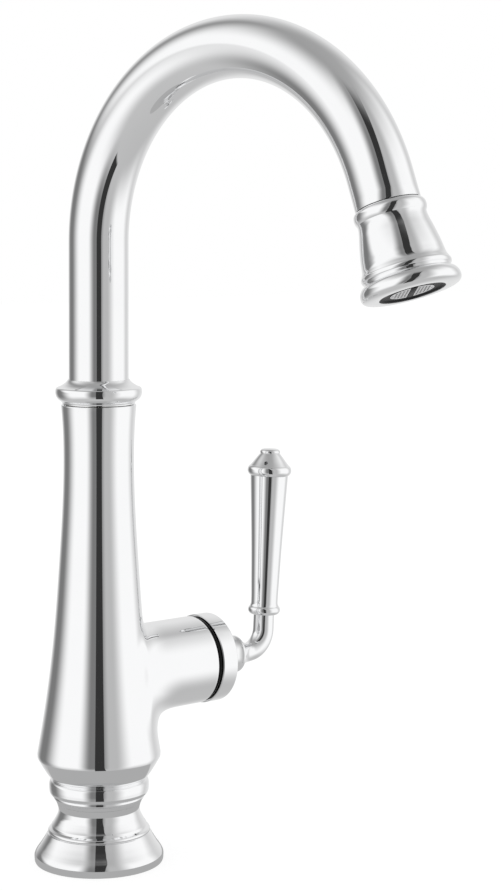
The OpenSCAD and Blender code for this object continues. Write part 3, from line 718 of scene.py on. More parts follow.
@dataclass(frozen=True)
class Layout:
    """Sizes in millimetres that several sub-assemblies share, and the frames that follow from them."""

    barrel_z: float = 78.2
    barrel_r: float = 18.75
    barrel_end: float = 50.4
    collar_top: float = 203.8
    riser: float = 57.9
    tube_r: float = 12.65
    tube_wall: float = 1.0
    arc_r: float = 79.0
    sweep: float = 160.3
    tail: float = 11.3
    spout_turn: float = -82.0
    pivot_x: float = 60.0
    lever_reach: float = 30.0
    lever_lean: float = 2.9

    @property
    def arc_z(self) -> float:
        """Height at which the riser goes over into the arc."""
        return self.collar_top + self.riser

    def barrel(self, x: float = 0.0) -> Matrix:
        """Frame on the barrel's axis, a distance from the column's axis, with its Z outwards."""
        return shift(x, z=self.barrel_z) @ turned(90, "Y")

    def arc(self, degrees: float) -> Matrix:
        """Frame on the gooseneck's arc, a turn from its start, with its Z along the tube."""
        turn = math.radians(degrees)
        reach = self.arc_r * (1 - math.cos(turn))
        height = self.arc_z + self.arc_r * math.sin(turn)
        return turned(self.spout_turn, "Z") @ shift(reach, z=height) @ turned(degrees, "Y")

    def tail_at(self, s: float) -> Matrix:
        """Frame on the tail, a distance past the arc's end, with its Z along the tube."""
        return self.arc(self.sweep) @ shift(z=s)

    def lever(self, reach: float = 0.0) -> Matrix:
        """Frame of the lever at its pivot, or a distance out along its arm, with its Z along the grip."""
        return shift(self.pivot_x, z=self.barrel_z) @ turned(self.lever_lean, "Y") @ shift(reach)


LAYOUT = Layout()


class Way(Enum):
    """The axes that the finishes follow."""

    UPRIGHT = Matrix.Identity(4)
    BARREL = LAYOUT.barrel()
    TAIL = LAYOUT.tail_at(0)
    GRIP = LAYOUT.lever(LAYOUT.lever_reach)


@dataclass(frozen=True)
class FlowLine:
    """A radius that changes smoothly with height: a natural cubic spline through chosen knots."""

    knots: tuple[tuple[float, float], ...]

    def bends(self) -> np.ndarray:
        """Second derivative at each knot."""
        z, r = np.array(self.knots).T
        gap = np.diff(z)
        count = len(z)
        system = np.eye(count)
        load = np.zeros(count)
        for i in range(1, count - 1):
            system[i, i - 1 : i + 2] = gap[i - 1], 2 * (gap[i - 1] + gap[i]), gap[i]
            load[i] = 6 * ((r[i + 1] - r[i]) / gap[i] - (r[i] - r[i - 1]) / gap[i - 1])
        return np.linalg.solve(system, load)

    def radius(self, height: np.ndarray) -> np.ndarray:
        """Radius at each height, both in millimetres."""
        z, r = np.array(self.knots).T
        bend = self.bends()
        i = np.clip(np.searchsorted(z, height) - 1, 0, len(z) - 2)
        gap = z[i + 1] - z[i]
        low, high = height - z[i], z[i + 1] - height
        cubic = (bend[i] * high**3 + bend[i + 1] * low**3) / (6 * gap)
        line = (r[i] / gap - bend[i] * gap / 6) * high + (r[i + 1] / gap - bend[i + 1] * gap / 6) * low
        return cubic + line


def ease(value: np.ndarray, low: float, high: float) -> np.ndarray:
    """A soft step of an array from 0 at low to 1 at high."""
    share = np.clip((value - low) / (high - low), 0, 1)
    return share * share * (3 - 2 * share)


@dataclass
class Foot:
    """The bell foot that stands on the deck."""

    bore_r: float = 15.2
    band_r: float = 27.28
    band_h: float = 3.4
    bottom: float = 0.05
    top: float = 24.97

    def outline(self) -> list[Knot]:
        """The foot's turned outline: band, bell, fine bead and waist."""
        return [
            *sharp((self.bore_r, self.bottom), (self.band_r - 0.45, self.bottom)),
            *smooth((self.band_r - 0.2, 0.5), (self.band_r - 0.06, 1.4)),
            *sharp((self.band_r, self.band_h - 0.5), (self.band_r - 0.12, self.band_h)),
            *smooth((26.85, 4.1), (26.4, 4.9), (25.7, 5.9), (24.9, 7.0)),
            *smooth((24.0, 8.35), (23.1, 9.75), (22.3, 11.1)),
            *sharp((21.65, 12.2), (21.25, 12.3)),
            *smooth((21.5, 12.75), (21.45, 13.4), (21.1, 13.9)),
            *sharp((20.85, 14.05), (20.15, 14.5), (20.05, 15.5)),
            *smooth((19.45, 16.3), (18.85, 17.3), (18.3, 18.3), (17.75, 19.4)),
            *smooth((17.35, 20.6), (17.2, 21.9), (17.4, 23.3)),
            *sharp((17.95, self.top), (self.bore_r, self.top)),
        ]

    def build(self, stock: Stock) -> None:
        """Turns and dresses the foot."""
        stock.mount(lathe("foot", self.outline()), Finishes.CHROME, Way.UPRIGHT, Part.FIXED, "base_flange")


@dataclass
class Column:
    """The column casting, whose valve barrel flows out of its side.

    The zone is the stretch round the barrel that is remeshed: its lower and upper height and its reach.
    Inside the column the barrel's surface sinks by sink over the places in sink_x, so that nothing of it
    shows on the column's far side.
    """

    joint_z: float = 25.0
    ridge_z: float = 45.5
    top_z: float = 193.0
    top_r: float = 15.9
    zone: tuple[float, float, float] = (50.0, 114.0, 44.0)
    fillet_low: float = 17.0
    fillet_high: float = 11.0
    fillet_turn: float = 12.0
    sink_x: tuple[float, float, float] = (-14.0, -2.0, 13.0)
    sink: tuple[float, float] = (40.0, 14.0)
    voxel: float = 0.65
    weld: float = 0.12
    settle_rounds: int = 6
    even_rings: int = 6
    end_band: float = 0.5
    true_within: float = 0.004
    screw_y: float = 13.0
    screw_z: float = 164.7
    screw_r: float = 2.52
    body: FlowLine = FlowLine(
        (
            (46.9, 25.85), (60.0, 23.65), (78.0, 21.05), (100.0, 18.7), (125.0, 16.85),
            (149.0, 15.42), (171.0, 14.9), (184.0, 15.25), (193.0, 15.9),
        )
    )

    def surface(self, points: np.ndarray) -> np.ndarray:
        """How far points lie outside the column and its barrel, with a soft fillet between the two.

        Args:
            points: Places in millimetres, one a row.

        Returns:
            The distances in millimetres, below zero inside.
        """
        x, y, z = points.T
        step = 0.01
        slope = (self.body.radius(z + step) - self.body.radius(z - step)) / (2 * step)
        column = (np.hypot(x, y) - self.body.radius(z)) / np.sqrt(1 + slope**2)
        above = z - LAYOUT.barrel_z
        far, middle, near = self.sink_x
        sunk = self.sink[1] * (1 - ease(x, middle, near)) + self.sink[0] * (1 - ease(x, far, middle))
        barrel = np.hypot(y, above) - LAYOUT.barrel_r + sunk
        upper = ease(above, -self.fillet_turn, self.fillet_turn)
        reach = self.fillet_low + (self.fillet_high - self.fillet_low) * upper
        close = np.clip(reach - np.abs(column - barrel), 0, None) / reach
        fade = ease(z, self.zone[0] - 1, self.zone[0] + 8)
        return np.minimum(column, barrel) - close**3 * reach / 6 * fade

    def gradient(self, points: np.ndarray) -> np.ndarray:
        """Direction in which the surface's distance grows, at each point."""
        step = 0.01
        sides = [(self.surface(points + d) - self.surface(points - d)) / (2 * step) for d in np.eye(3) * step]
        return np.stack(sides, axis=1)

    def settle(self, piece: Piece, low: float, high: float, end: float) -> None:
        """Draws the mesh's points between two heights onto the true surface.

        Args:
            piece: The mesh.
            low: Height below which points stay.
            high: Height above which points stay.
            end: Reach beyond which points stay.
        """
        points = read_points(piece)
        loose = (points[:, 2] > low) & (points[:, 2] < high) & (points[:, 0] < end)
        moving = points[loose]
        for _ in range(self.settle_rounds):
            slope = self.gradient(moving)
            moving = moving - slope * (self.surface(moving) / (slope**2).sum(axis=1))[:, None]
        points[loose] = moving
        piece.data.vertices.foreach_set("co", (points * MM).ravel())
        piece.data.update()

    def root(self) -> Piece:
        """Makes the stretch of the casting round the barrel, with its fillet.

        Returns:
            An open shell between the zone's three limits.
        """
        low, high, end = self.zone
        margin = 6.0
        heights = np.linspace(low - 3, high + margin, 40)
        outline = [Knot(0, heights[0], Turn.SHARP)]
        outline += smooth(*zip(self.body.radius(heights).tolist(), heights.tolist()))
        outline += [Knot(0, heights[-1], Turn.SHARP)]
        trunk = lathe("trunk", outline, closed=False, detail=1)
        barrel = place(cylinder("barrel", LAYOUT.barrel_r, end + margin, 192), LAYOUT.barrel())
        piece = join("column", [trunk, barrel])
        piece.data.remesh_voxel_size = self.voxel * MM
        piece.data.remesh_voxel_adaptivity = 0
        activate(piece)
        bpy.ops.object.voxel_remesh()
        self.settle(piece, low - 1.5, high + margin - 2, end + margin - 2)
        limits = [((0, 0, low), (0, 0, -1)), ((0, 0, high), (0, 0, 1)), ((end, 0, 0), (1, 0, 0))]
        for spot, away in limits:
            spot = Vector(spot) * MM
            with editing(piece):
                bpy.ops.mesh.bisect(plane_co=spot, plane_no=away, clear_outer=True, threshold=1e-5)
                bpy.ops.mesh.select_all(action="SELECT")
                bpy.ops.mesh.remove_doubles(threshold=self.weld * MM)
        return piece

    def finish_end(self, piece: Piece, start: Matrix, stations: Sequence[tuple[float, float]]) -> None:
        """Draws an open end of the shell out along turned stations and closes it.

        Args:
            piece: The shell.
            start: Frame of the turned axis, whose XY plane holds the open end.
            stations: Radius and place along the axis of each ring, the first on the open end.
        """
        back = start.inverted()
        with editing(piece):
            level = stations[0][1] * MM
            select_open(piece, lambda spot: abs((back @ spot).z - level) < self.end_band * MM)
            self.even_out(piece, start, stations[: self.even_rings])
            draw_rings([Ring(start @ shift(z=z), r) for r, z in stations[self.even_rings - 1 :]])
            bpy.ops.mesh.edge_face_add()

    @staticmethod
    def even_out(piece: Piece, start: Matrix, stations: Sequence[tuple[float, float]]) -> None:
        """Draws the open end out over a few rings while its points spread evenly round the axis.

        Args:
            piece: The shell, in edit mode with its open end selected.
            start: Frame of the turned axis.
            stations: Radius and place of each ring, the first on the open end.
        """
        back = start.inverted()

        def turn_of(vertex: bmesh.types.BMVert) -> float:
            spot = back @ vertex.co
            return math.atan2(spot.y, spot.x)

        mesh = bmesh.from_edit_mesh(piece.data)
        turns = sorted(turn_of(vertex) for vertex in mesh.verts if vertex.select)
        step = FULL_TURN / len(turns)
        first = sum(turn - step * i for i, turn in enumerate(turns)) / len(turns)
        for number, (r, z) in enumerate(stations):
            if number:
                bpy.ops.mesh.extrude_edges_indiv()
                mesh = bmesh.from_edit_mesh(piece.data)
            share = number / (len(stations) - 1)
            chosen = sorted((vertex for vertex in mesh.verts if vertex.select), key=turn_of)
            for i, vertex in enumerate(chosen):
                turn = turns[i] * (1 - share) + (first + step * i) * share
                vertex.co = start @ (Vector((r * math.cos(turn), r * math.sin(turn), z)) * MM)
        bmesh.update_edit_mesh(piece.data)

    def stations_down(self) -> list[tuple[float, float]]:
        """Rings from the zone's lower limit over the ridge, cone and bead to the shank's socket."""
        heights = np.linspace(self.zone[0], self.body.knots[0][0], 6)
        cone = [
            *sharp((26.05, self.ridge_z + 0.25), (25.98, self.ridge_z - 1.3)),
            *smooth((23.7, 40.3), (21.5, 37.0)),
            *sharp((20.05, 35.4), (19.8, 35.3), (19.8, 34.9)),
            *smooth((20.45, 34.55), (20.95, 33.6), (21.1, 32.2), (21.05, 30.8), (20.85, 29.6), (20.4, 28.8)),
            *sharp((19.75, 28.4), (19.05, 28.25)),
            *smooth((19.25, 27.85), (19.25, 27.3), (19.0, 26.85)),
            *sharp((18.75, 26.7)),
            *smooth((18.4, 25.9)),
            *sharp((17.97, self.joint_z), (13.0, self.joint_z)),
        ]
        return [*zip(self.body.radius(heights).tolist(), heights.tolist()), *read_outline(cone)]

    def stations_up(self) -> list[tuple[float, float]]:
        """Rings from the zone's upper limit to the top rim and in to the swivel's bore."""
        heights = np.linspace(self.zone[1], self.top_z - 0.45, 56)
        r, z = self.top_r, self.top_z
        rim = [(r, z - 0.25), (r - 0.12, z), (r - 0.38, z + 0.18), (r - 0.75, z + 0.28), (12.5, z + 0.3)]
        return [*zip(self.body.radius(heights).tolist(), heights.tolist()), *rim]

    def stations_out(self) -> list[tuple[float, float]]:
        """Rings from the zone's outer limit to the barrel's open end."""
        r, end = LAYOUT.barrel_r, LAYOUT.barrel_end
        reaches = np.linspace(self.zone[2], end - 0.35, 8)
        return [*((r, x) for x in reaches.tolist()), (r - 0.1, end - 0.1), (r - 0.35, end), (13.0, end)]

    def bore(self, piece: Piece) -> None:
        """Bores the casting: socket, cavity, hose passage and bearing seats, then the valve's seat."""
        upright = sharp(
            (0, 20), (15.05, 20), (15.05, 41), (12.9, 41), (12.9, 107.9), (8, 107.9), (8, 151), (12.25, 151),
            (12.25, 192), (13.75, 192), (13.75, 200), (0, 200),
        )
        sideways = sharp((0, 29.9), (12.55, 29.9), (12.55, 42), (15.45, 42), (15.45, 60), (0, 60))
        cut(piece, lathe("upright_bore", upright, closed=False, detail=1))
        cut(piece, place(lathe("barrel_bore", sideways, closed=False, detail=1), LAYOUT.barrel()))
        hole = cylinder("screw_bore", self.screw_r, 12, 48)
        cut(piece, place(hole, shift(y=self.screw_y, z=self.screw_z) @ turned(-90, "X")))

    def polish(self, piece: Piece) -> None:
        """Gives the flowing part of the casting the exact normals of its surface."""
        points = read_points(piece)
        low, high = self.body.knots[0][0] + 0.3, self.top_z - 0.6
        flowing = np.abs(self.surface(points)) < self.true_within
        flowing &= (points[:, 2] > low) & (points[:, 2] < high)
        flowing &= points[:, 0] < LAYOUT.barrel_end - 0.5
        normals = np.zeros_like(points)
        slope = self.gradient(points[flowing])
        normals[flowing] = slope / np.linalg.norm(slope, axis=1)[:, None]
        piece.data.normals_split_custom_set_from_vertices(normals.tolist())

    def build(self, stock: Stock) -> None:
        """Makes, bores and dresses the casting."""
        piece = self.root()
        self.finish_end(piece, Matrix.Identity(4), self.stations_down())
        self.finish_end(piece, Matrix.Identity(4), self.stations_up())
        self.finish_end(piece, LAYOUT.barrel(), self.stations_out())
        with editing(piece):
            bpy.ops.mesh.normals_make_consistent(inside=False)
        self.bore(piece)
        stock.mount(piece, Finishes.CHROME, Way.UPRIGHT, Part.FIXED, "column_body")
        self.polish(piece)


@dataclass
class Gooseneck:
    """The swivelling spout: collar, bent tube and the hose inside it."""

    collar_z: float = 193.5
    tube_low: float = 195.5
    hose_r: float = 5.5
    stretch_from: float = 12.0
    stretch_to: float = 4.0

    def collar(self, stock: Stock) -> None:
        """Turns the collar: a rounded bead under a hollow cone that runs up to the tube."""
        wall = LAYOUT.tube_r + 0.02
        outline = [
            *sharp((14.02, self.collar_z), (15.35, self.collar_z)),
            *smooth((15.4, 193.9), (15.75, 194.5), (16.6, 195.1)),
            *smooth((17.6, 196.1), (18.2, 197.5), (18.3, 199.0)),
            *sharp((18.1, 199.95), (17.75, 200.35)),
            *smooth((16.4, 200.9), (14.9, 201.8), (13.7, 202.8)),
            *sharp((12.95, LAYOUT.collar_top), (wall, LAYOUT.collar_top)),
            *sharp((wall, self.tube_low), (14.02, self.tube_low)),
        ]
        stock.mount(lathe("collar", outline), Finishes.CHROME, Way.UPRIGHT, Part.SPOUT, "swivel_collar")

    def run(self, r: float, low: float, turns: Sequence[float], end: float | None = None) -> list[Ring]:
        """Rings up the riser, round the arc and, where it is asked for, down the tail.

        Args:
            r: Radius of the rings.
            low: Height of the first ring.
            turns: Turns along the arc, in degrees.
            end: Distance of the last ring past the arc's end.

        Returns:
            The rings, in order.
        """
        heights = np.linspace(low, LAYOUT.arc_z, 8)[:-1].tolist()
        rings = [Ring(shift(z=z) @ turned(LAYOUT.spout_turn, "Z"), r) for z in heights]
        rings += [Ring(LAYOUT.arc(turn), r) for turn in turns]
        if end is not None:
            rings += [Ring(LAYOUT.tail_at(s), r) for s in np.linspace(0, end, 4)[1:].tolist()]
        return rings

    def tube(self, stock: Stock) -> None:
        """Bends the thin-walled tube and rolls its mouth."""
        turns = np.linspace(0, LAYOUT.sweep, 121).tolist()
        r, wall, end = LAYOUT.tube_r, LAYOUT.tube_wall, LAYOUT.tail
        outer = self.run(r, self.tube_low, turns, end - 0.25)
        inner = self.run(r - wall, self.tube_low, turns, end - 0.25)
        lip = [Ring(LAYOUT.tail_at(end - 0.05), r - 0.1)]
        lip += [Ring(LAYOUT.tail_at(end), r - share * wall) for share in (0.3, 0.7)]
        piece = sweep("gooseneck", [*outer, *lip, *reversed(inner)], 160)
        stock.mount(piece, Finishes.CHROME, Way.UPRIGHT, Part.SPOUT, "spout_tube")

    def arc_turn(self, back: float) -> float:
        """Turn on the arc at a distance before its end."""
        return LAYOUT.sweep - math.degrees(back / LAYOUT.arc_r)

    def hose(self, stock: Stock) -> None:
        """Threads the hose through the tube, up to where it starts to pay out."""
        turns = np.linspace(0, self.arc_turn(self.stretch_from), 60).tolist()
        piece = sweep("spray_hose", self.run(self.hose_r, self.collar_z, turns), 48, caps=True)
        stock.mount(piece, Finishes.BRAID, Way.TAIL, Part.SPOUT, "gooseneck_hose")

    def slack(self, stock: Stock) -> None:
        """Makes the hose's end behind the head, in close rings."""
        free, held = self.arc_turn(self.stretch_from), self.arc_turn(self.stretch_to)
        rings = [Ring(LAYOUT.arc(turn), self.hose_r) for turn in np.linspace(free, held, 49).tolist()]
        piece = sweep("hose_slack", rings, 48, caps=True)
        soften(piece)
        stock.dress(piece, Finishes.BRAID.value, Way.TAIL)
        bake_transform(piece)
        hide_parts("hose_stretch")
        LOG.info("%s stretches between spout and spray head", piece.name)

    def build(self, stock: Stock) -> None:
        """Makes the spout's own pieces."""
        self.collar(stock)
        self.tube(stock)
        self.hose(stock)
        self.slack(stock)


@dataclass
class SprayHead:
    """The pull-down head at the spout's end."""

    top: float = 11.6
    core_end: float = 33.9
    outlet_r: float = 12.8
    outlet: float = 46.0
    feed_r: float = 1.0
    feed_reach: float = 5.6
    bar_w: float = 2.4
    bar_turn: float = 43.0
    screen_r: float = 8.5
    hole_r: float = 0.48
    hole_pitch: float = 1.55
    edge_bare: float = 0.75
    side_bare: float = 0.95

    def on_tail(self, piece: Piece, turn: float = 0) -> Piece:
        """Puts a piece that stands on Z onto the tail, turned about it."""
        return place(piece, LAYOUT.tail_at(0) @ turned(turn, "Z"))

    def shell(self, stock: Stock) -> None:
        """Turns the head's shell: two beads, a bell between them and a flared lip."""
        outline = [
            *sharp((10.75, self.top), (12.72, self.top), (13.5, 12.3)),
            *smooth((13.85, 12.95), (14.02, 14.0), (13.95, 15.0), (13.65, 15.9)),
            *sharp((13.3, 16.5)),
            *smooth((13.25, 17.3), (13.5, 19.3), (14.3, 22.9), (15.05, 26.5), (15.65, 30.0), (15.95, 32.4)),
            *smooth((16.3, 34.4), (16.8, 35.6)),
            *sharp((17.05, 36.2)),
            *smooth((17.3, 36.7), (17.3, 37.4), (17.1, 38.0)),
            *sharp((16.65, 38.4), (16.55, 39.2)),
            *smooth((17.1, 39.6), (18.15, 40.4), (19.0, 41.7), (19.3, 43.1), (19.15, 44.3), (18.6, 45.1)),
            *sharp((17.9, 45.5), (13.2, 45.9), (self.outlet_r, self.outlet - 0.2)),
            *sharp((self.outlet_r, self.core_end), (11.62, self.core_end), (11.62, 14.1), (10.75, 14.1)),
        ]
        piece = self.on_tail(lathe("spray_head_shell", outline))
        stock.mount(piece, Finishes.CHROME, Way.TAIL, Part.SPRAY, "head_shell")

    def insert(self, stock: Stock) -> None:
        """Makes the black outlet insert: a cup with a bar across its mouth and feed holes in its floor."""
        low = self.core_end + 1.02
        rim = self.outlet_r - 0.02
        well = self.screen_r + 0.15
        cup = lathe("outlet_insert", [
            *sharp((0, low), (rim, low), (rim, self.outlet - 0.45), (rim - 0.5, self.outlet - 0.45)),
            *sharp((rim - 1.0, self.outlet - 0.8), (well, self.outlet - 0.8), (well, low + 2), (0, low + 2)),
        ], closed=False, detail=1)
        bar_low = low + 1.5
        bpy.ops.mesh.primitive_cube_add(size=1)
        bar = bpy.context.object
        size = Vector((2 * well + 0.4, self.bar_w, self.outlet - 0.5 - bar_low)) * MM
        place(bar, Matrix.Translation((0, 0, bar_low * MM + size.z / 2)) @ Matrix.Diagonal((*size, 1)))
        with editing(bar):
            bpy.ops.mesh.bevel(offset=0.3 * MM, segments=3, affect="EDGES")
        for side in (-1, 1):
            for turn in (45, 90, 135):
                hole = place(cylinder("feed_hole", self.feed_r, 4, 24), shift(self.feed_reach, z=low - 1))
                cut(cup, place(hole, turned(side * turn, "Z")))
        piece = self.on_tail(join("outlet_insert", [cup, bar]), self.bar_turn)
        stock.mount(piece, Finishes.INSERT, Way.TAIL, Part.SPRAY, "aerator_housing")

    def screens(self, stock: Stock) -> None:
        """Stamps two half-round screens, full of fine holes, one on each side of the bar."""
        side = self.bar_w / 2 + 0.12
        start = math.asin(side / self.screen_r)
        arc = [start + (math.pi - 2 * start) * i / 40 for i in range(41)]
        edge = [(self.screen_r * math.cos(turn), self.screen_r * math.sin(turn)) for turn in arc]
        plate = prism("outlet_screens", edge, 0.5)
        drills = []
        row_gap = self.hole_pitch * 0.866
        for row in range(int((self.screen_r - side) / row_gap)):
            y = side + self.side_bare + row * row_gap
            for column in range(-6, 7):
                x = (column + row % 2 / 2) * self.hole_pitch
                if math.hypot(x, y) < self.screen_r - self.edge_bare:
                    drills.append(place(cylinder("drill", self.hole_r, 2, 10), shift(x, y, -0.7)))
        cut(plate, join("drills", drills))
        other = plate.copy()
        other.data = plate.data.copy()
        bpy.context.scene.collection.objects.link(other)
        place(other, turned(180, "Z"))
        piece = place(join("outlet_screens", [plate, other]), shift(z=self.outlet - 1.15))
        self.on_tail(piece, self.bar_turn)
        stock.mount(piece, Finishes.SCREEN, Way.TAIL, Part.SPRAY, "outlet_screens")

    def build(self, stock: Stock) -> None:
        """Makes the head's own pieces."""
        self.shell(stock)
        self.insert(stock)
        self.screens(stock)


@dataclass
class Handle:
    """The valve's trim: black ring, hub with its slotted dome, lever, grip and finial."""

    ring_t: float = 2.2
    hub_gap: float = 0.1
    hub_r: float = 19.1
    hub_l: float = 8.0
    nut_bore: float = 15.45
    dome_r: float = 11.5
    dome_wall: float = 1.1
    dome_steps: int = 24
    slot_half: float = 2.9
    slot_reach: float = 15.5
    slot_swing: float = 27.0
    slot_steps: int = 8
    hub_screw_r: float = 1.27
    hub_screw_x: float = 2.4
    bend_r: float = 10.0
    grip_low: float = 16.5
    grip_high: float = 78.9
    screw_r: float = 0.82
    screw_up: float = 5.9
    screw_turn: float = -143.0

    def trim_ring(self, stock: Stock) -> None:
        """Moulds the glossy black ring between barrel and hub."""
        r = LAYOUT.barrel_r - 0.6
        outline = [
            *sharp((self.nut_bore + 0.05, 0.01), (r - 0.3, 0.01)),
            *smooth((r, 0.35), (r, self.ring_t - 0.35)),
            *sharp((r - 0.3, self.ring_t), (self.nut_bore + 0.05, self.ring_t)),
        ]
        piece = place(lathe("trim_ring", outline), LAYOUT.barrel(LAYOUT.barrel_end))
        stock.mount(piece, Finishes.BLACK, Way.BARREL, Part.FIXED, "bearing_ring")

    def hub(self, stock: Stock) -> None:
        """Turns the hub with its hollow dome and cuts the lever's slot and the screw's hole."""
        hub_x = LAYOUT.barrel_end + self.ring_t + self.hub_gap
        centre = LAYOUT.pivot_x - hub_x
        inner = 5.0
        dome_in = self.dome_r - self.dome_wall
        r, length = self.hub_r, self.hub_l

        def dome(size: float, first: float, last: float) -> list[Knot]:
            """Knots round the dome's centre from one angle to another."""
            turns = [first + (last - first) * i / self.dome_steps for i in range(self.dome_steps + 1)]
            return smooth(*((max(size * math.cos(a), 0), centre + size * math.sin(a)) for a in turns))

        outline = [
            *sharp((self.nut_bore, 0), (r - 0.35, 0), (r, 0.35)),
            *sharp((r, length - 0.75)),
            *smooth((r - 0.1, length - 0.3), (r - 0.45, length - 0.03)),
            *sharp((r - 0.9, length), (r - 2.0, length - 0.45), (self.dome_r + 0.3, length - 0.5)),
            *dome(self.dome_r, math.radians(1), math.pi / 2),
            *dome(dome_in, math.pi / 2, math.asin((inner - centre) / dome_in)),
            *sharp((self.nut_bore, inner)),
        ]
        piece = place(lathe("hub", outline, detail=3), LAYOUT.barrel(hub_x))
        swing = math.degrees(math.asin(self.slot_half / dome_in))
        fan = [(0.0, 0.0)]
        for i in range(self.slot_steps + 1):
            turn = math.radians(swing + 2 - (self.slot_swing + 2 * swing) * i / self.slot_steps)
            fan.append((self.slot_reach * math.cos(turn), self.slot_reach * math.sin(turn)))
        wedge = place(prism("slot", fan, 2 * self.slot_half), shift(z=-self.slot_half))
        cut(piece, place(wedge, shift(LAYOUT.pivot_x, z=LAYOUT.barrel_z) @ turned(90, "X")))
        hole = cylinder("screw_hole", self.hub_screw_r, 5, 32)
        cut(piece, place(hole, shift(hub_x + self.hub_screw_x, z=LAYOUT.barrel_z - r - 1)))
        stock.mount(piece, Finishes.CHROME, Way.BARREL, Part.HUB, "handle_hub")

    def arm_frame(self, run: float) -> Matrix:
        """Frame on the lever's arm, a distance along it from the pivot."""
        straight = LAYOUT.lever_reach - self.bend_r
        quarter = self.bend_r * math.pi / 2
        turn = min(max((run - straight) / quarter, 0), 1) * math.pi / 2
        reach = min(run, straight) + self.bend_r * math.sin(turn)
        height = self.bend_r * (1 - math.cos(turn)) + max(run - straight - quarter, 0)
        return LAYOUT.lever(reach) @ shift(z=height) @ Matrix.Rotation(math.pi / 2 - turn, 4, "Y")

    def arm(self, stock: Stock) -> None:
        """Draws the arm out from its bell through the neck and the bend up to the grip."""
        bell = [
            (9.3, 7.5), (12.3, 7.6), (12.6, 7.8), (13.1, 8.05), (13.7, 8.05), (14.15, 7.8), (14.35, 7.45),
            (14.45, 7.2),
        ]
        start, end = 14.55, 42.2
        neck = FlowLine((
            (start, 7.1), (15.6, 6.3), (17.0, 5.4), (18.7, 4.65), (20.8, 4.2), (24.0, 4.35), (29.0, 4.6),
            (end, 4.6),
        ))
        runs = np.linspace(start, end, 80)
        stations = [*bell, *zip(runs.tolist(), neck.radius(runs).tolist())]
        rings = [Ring(self.arm_frame(run), r) for run, r in stations]
        piece = sweep("lever_arm", rings, 96, caps=True)
        bpy.ops.mesh.primitive_uv_sphere_add(segments=96, ring_count=64, radius=(self.dome_r + 0.3) * MM)
        cut(piece, place(bpy.context.object, LAYOUT.lever()))
        stock.mount(piece, Finishes.CHROME, Way.GRIP, Part.LEVER, "lever_arm")

    def grip(self, stock: Stock) -> None:
        """Turns the slim tapered grip with the bead at its foot."""
        outline = [
            *sharp((3.05, self.grip_low), (5.2, self.grip_low)),
            *smooth((6.1, 16.75), (6.95, 17.6), (7.2, 18.6), (6.95, 19.6)),
            *sharp((6.4, 20.3)),
            *smooth((6.05, 21.3), (6.0, 22.8), (6.3, 32.0), (6.8, 45.4), (7.6, 62.0), (8.4, 77.6)),
            *sharp((8.45, self.grip_high - 0.05), (4.05, self.grip_high - 0.05)),
            *sharp((4.05, 70), (0, 70), (0, 29.5), (3.05, 29.5)),
        ]
        piece = place(lathe("grip", outline, sides=128), Way.GRIP.value)
        stock.mount(piece, Finishes.CHROME, Way.GRIP, Part.LEVER, "lever_grip")

    def finial(self, stock: Stock) -> None:
        """Turns the finial: a bead, a hollow cone and a button, with the fixing screw's hole in the cone."""
        outline = [
            *sharp((0, 71), (4.0, 71), (4.0, self.grip_high), (8.6, self.grip_high)),
            *smooth((9.2, 79.4), (9.78, 80.5), (9.82, 81.5), (9.5, 82.6)),
            *sharp((8.95, 83.25), (8.75, 83.3)),
            *smooth((7.6, 84.7), (6.2, 86.5), (5.0, 88.0)),
            *sharp((4.35, 88.75)),
            *smooth((4.5, 89.25), (4.25, 90.1), (3.3, 90.7), (1.6, 90.88)),
            *sharp((0, 90.9)),
        ]
        piece = place(lathe("finial", outline, sides=128), Way.GRIP.value)
        drill = place(cylinder("drill", self.screw_r, 9, 32), turned(90, "Y"))
        place(drill, turned(self.screw_turn, "Z") @ shift(3))
        cut(piece, place(drill, Way.GRIP.value @ shift(z=self.grip_high + self.screw_up)))
        stock.mount(piece, Finishes.CHROME, Way.GRIP, Part.LEVER, "finial")

    def build(self, stock: Stock) -> None:
        """Makes the handle's own pieces."""
        self.trim_ring(stock)
        self.hub(stock)
        self.arm(stock)
        self.grip(stock)
        self.finial(stock)


# The CAD pieces that are shown as they are, by their finish and the axis that it follows.
CARRIED = {
    (Finishes.RUBBER, Way.UPRIGHT): "base_gasket rubber_washer spigot_o_rings",
    (Finishes.RUBBER, Way.BARREL): "port_seals",
    (Finishes.RUBBER, Way.TAIL): "outlet_seal",
    (Finishes.BRASS, Way.UPRIGHT): "threaded_shank mounting_nut outlet_connector hose_coupling spout_spigot",
    (Finishes.BRASS, Way.BARREL): "retaining_nut",
    (Finishes.BRASS, Way.TAIL): "hose_ferrule",
    (Finishes.STEEL, Way.UPRIGHT): "steel_washer swivel_screw hub_screw",
    (Finishes.STEEL, Way.BARREL): "lever_stem pivot_pin",
    (Finishes.STEEL, Way.GRIP): "finial_screw",
    (Finishes.COPPER, Way.UPRIGHT): "hot_inlet_tube cold_inlet_tube outlet_tube",
    (Finishes.BRAID, Way.UPRIGHT): "lower_hose",
    (Finishes.NYLON, Way.UPRIGHT): "lower_bearing upper_bearing",
    (Finishes.NYLON, Way.BARREL): "cartridge_base cartridge_housing valve_rotor disc_carrier",
    (Finishes.NYLON, Way.TAIL): "head_core check_valve",
    (Finishes.INSERT, Way.TAIL): "dock_insert",
    (Finishes.CERAMIC, Way.BARREL): "fixed_disc moving_disc",
}


@dataclass(frozen=True)
class Panel:
    """One soft source that hangs round the faucet.

    Its azimuth and widths are in degrees, from the camera's side round to the right.
    """

    azimuth: float
    reach: float
    fade_left: float
    fade_right: float
    level: float


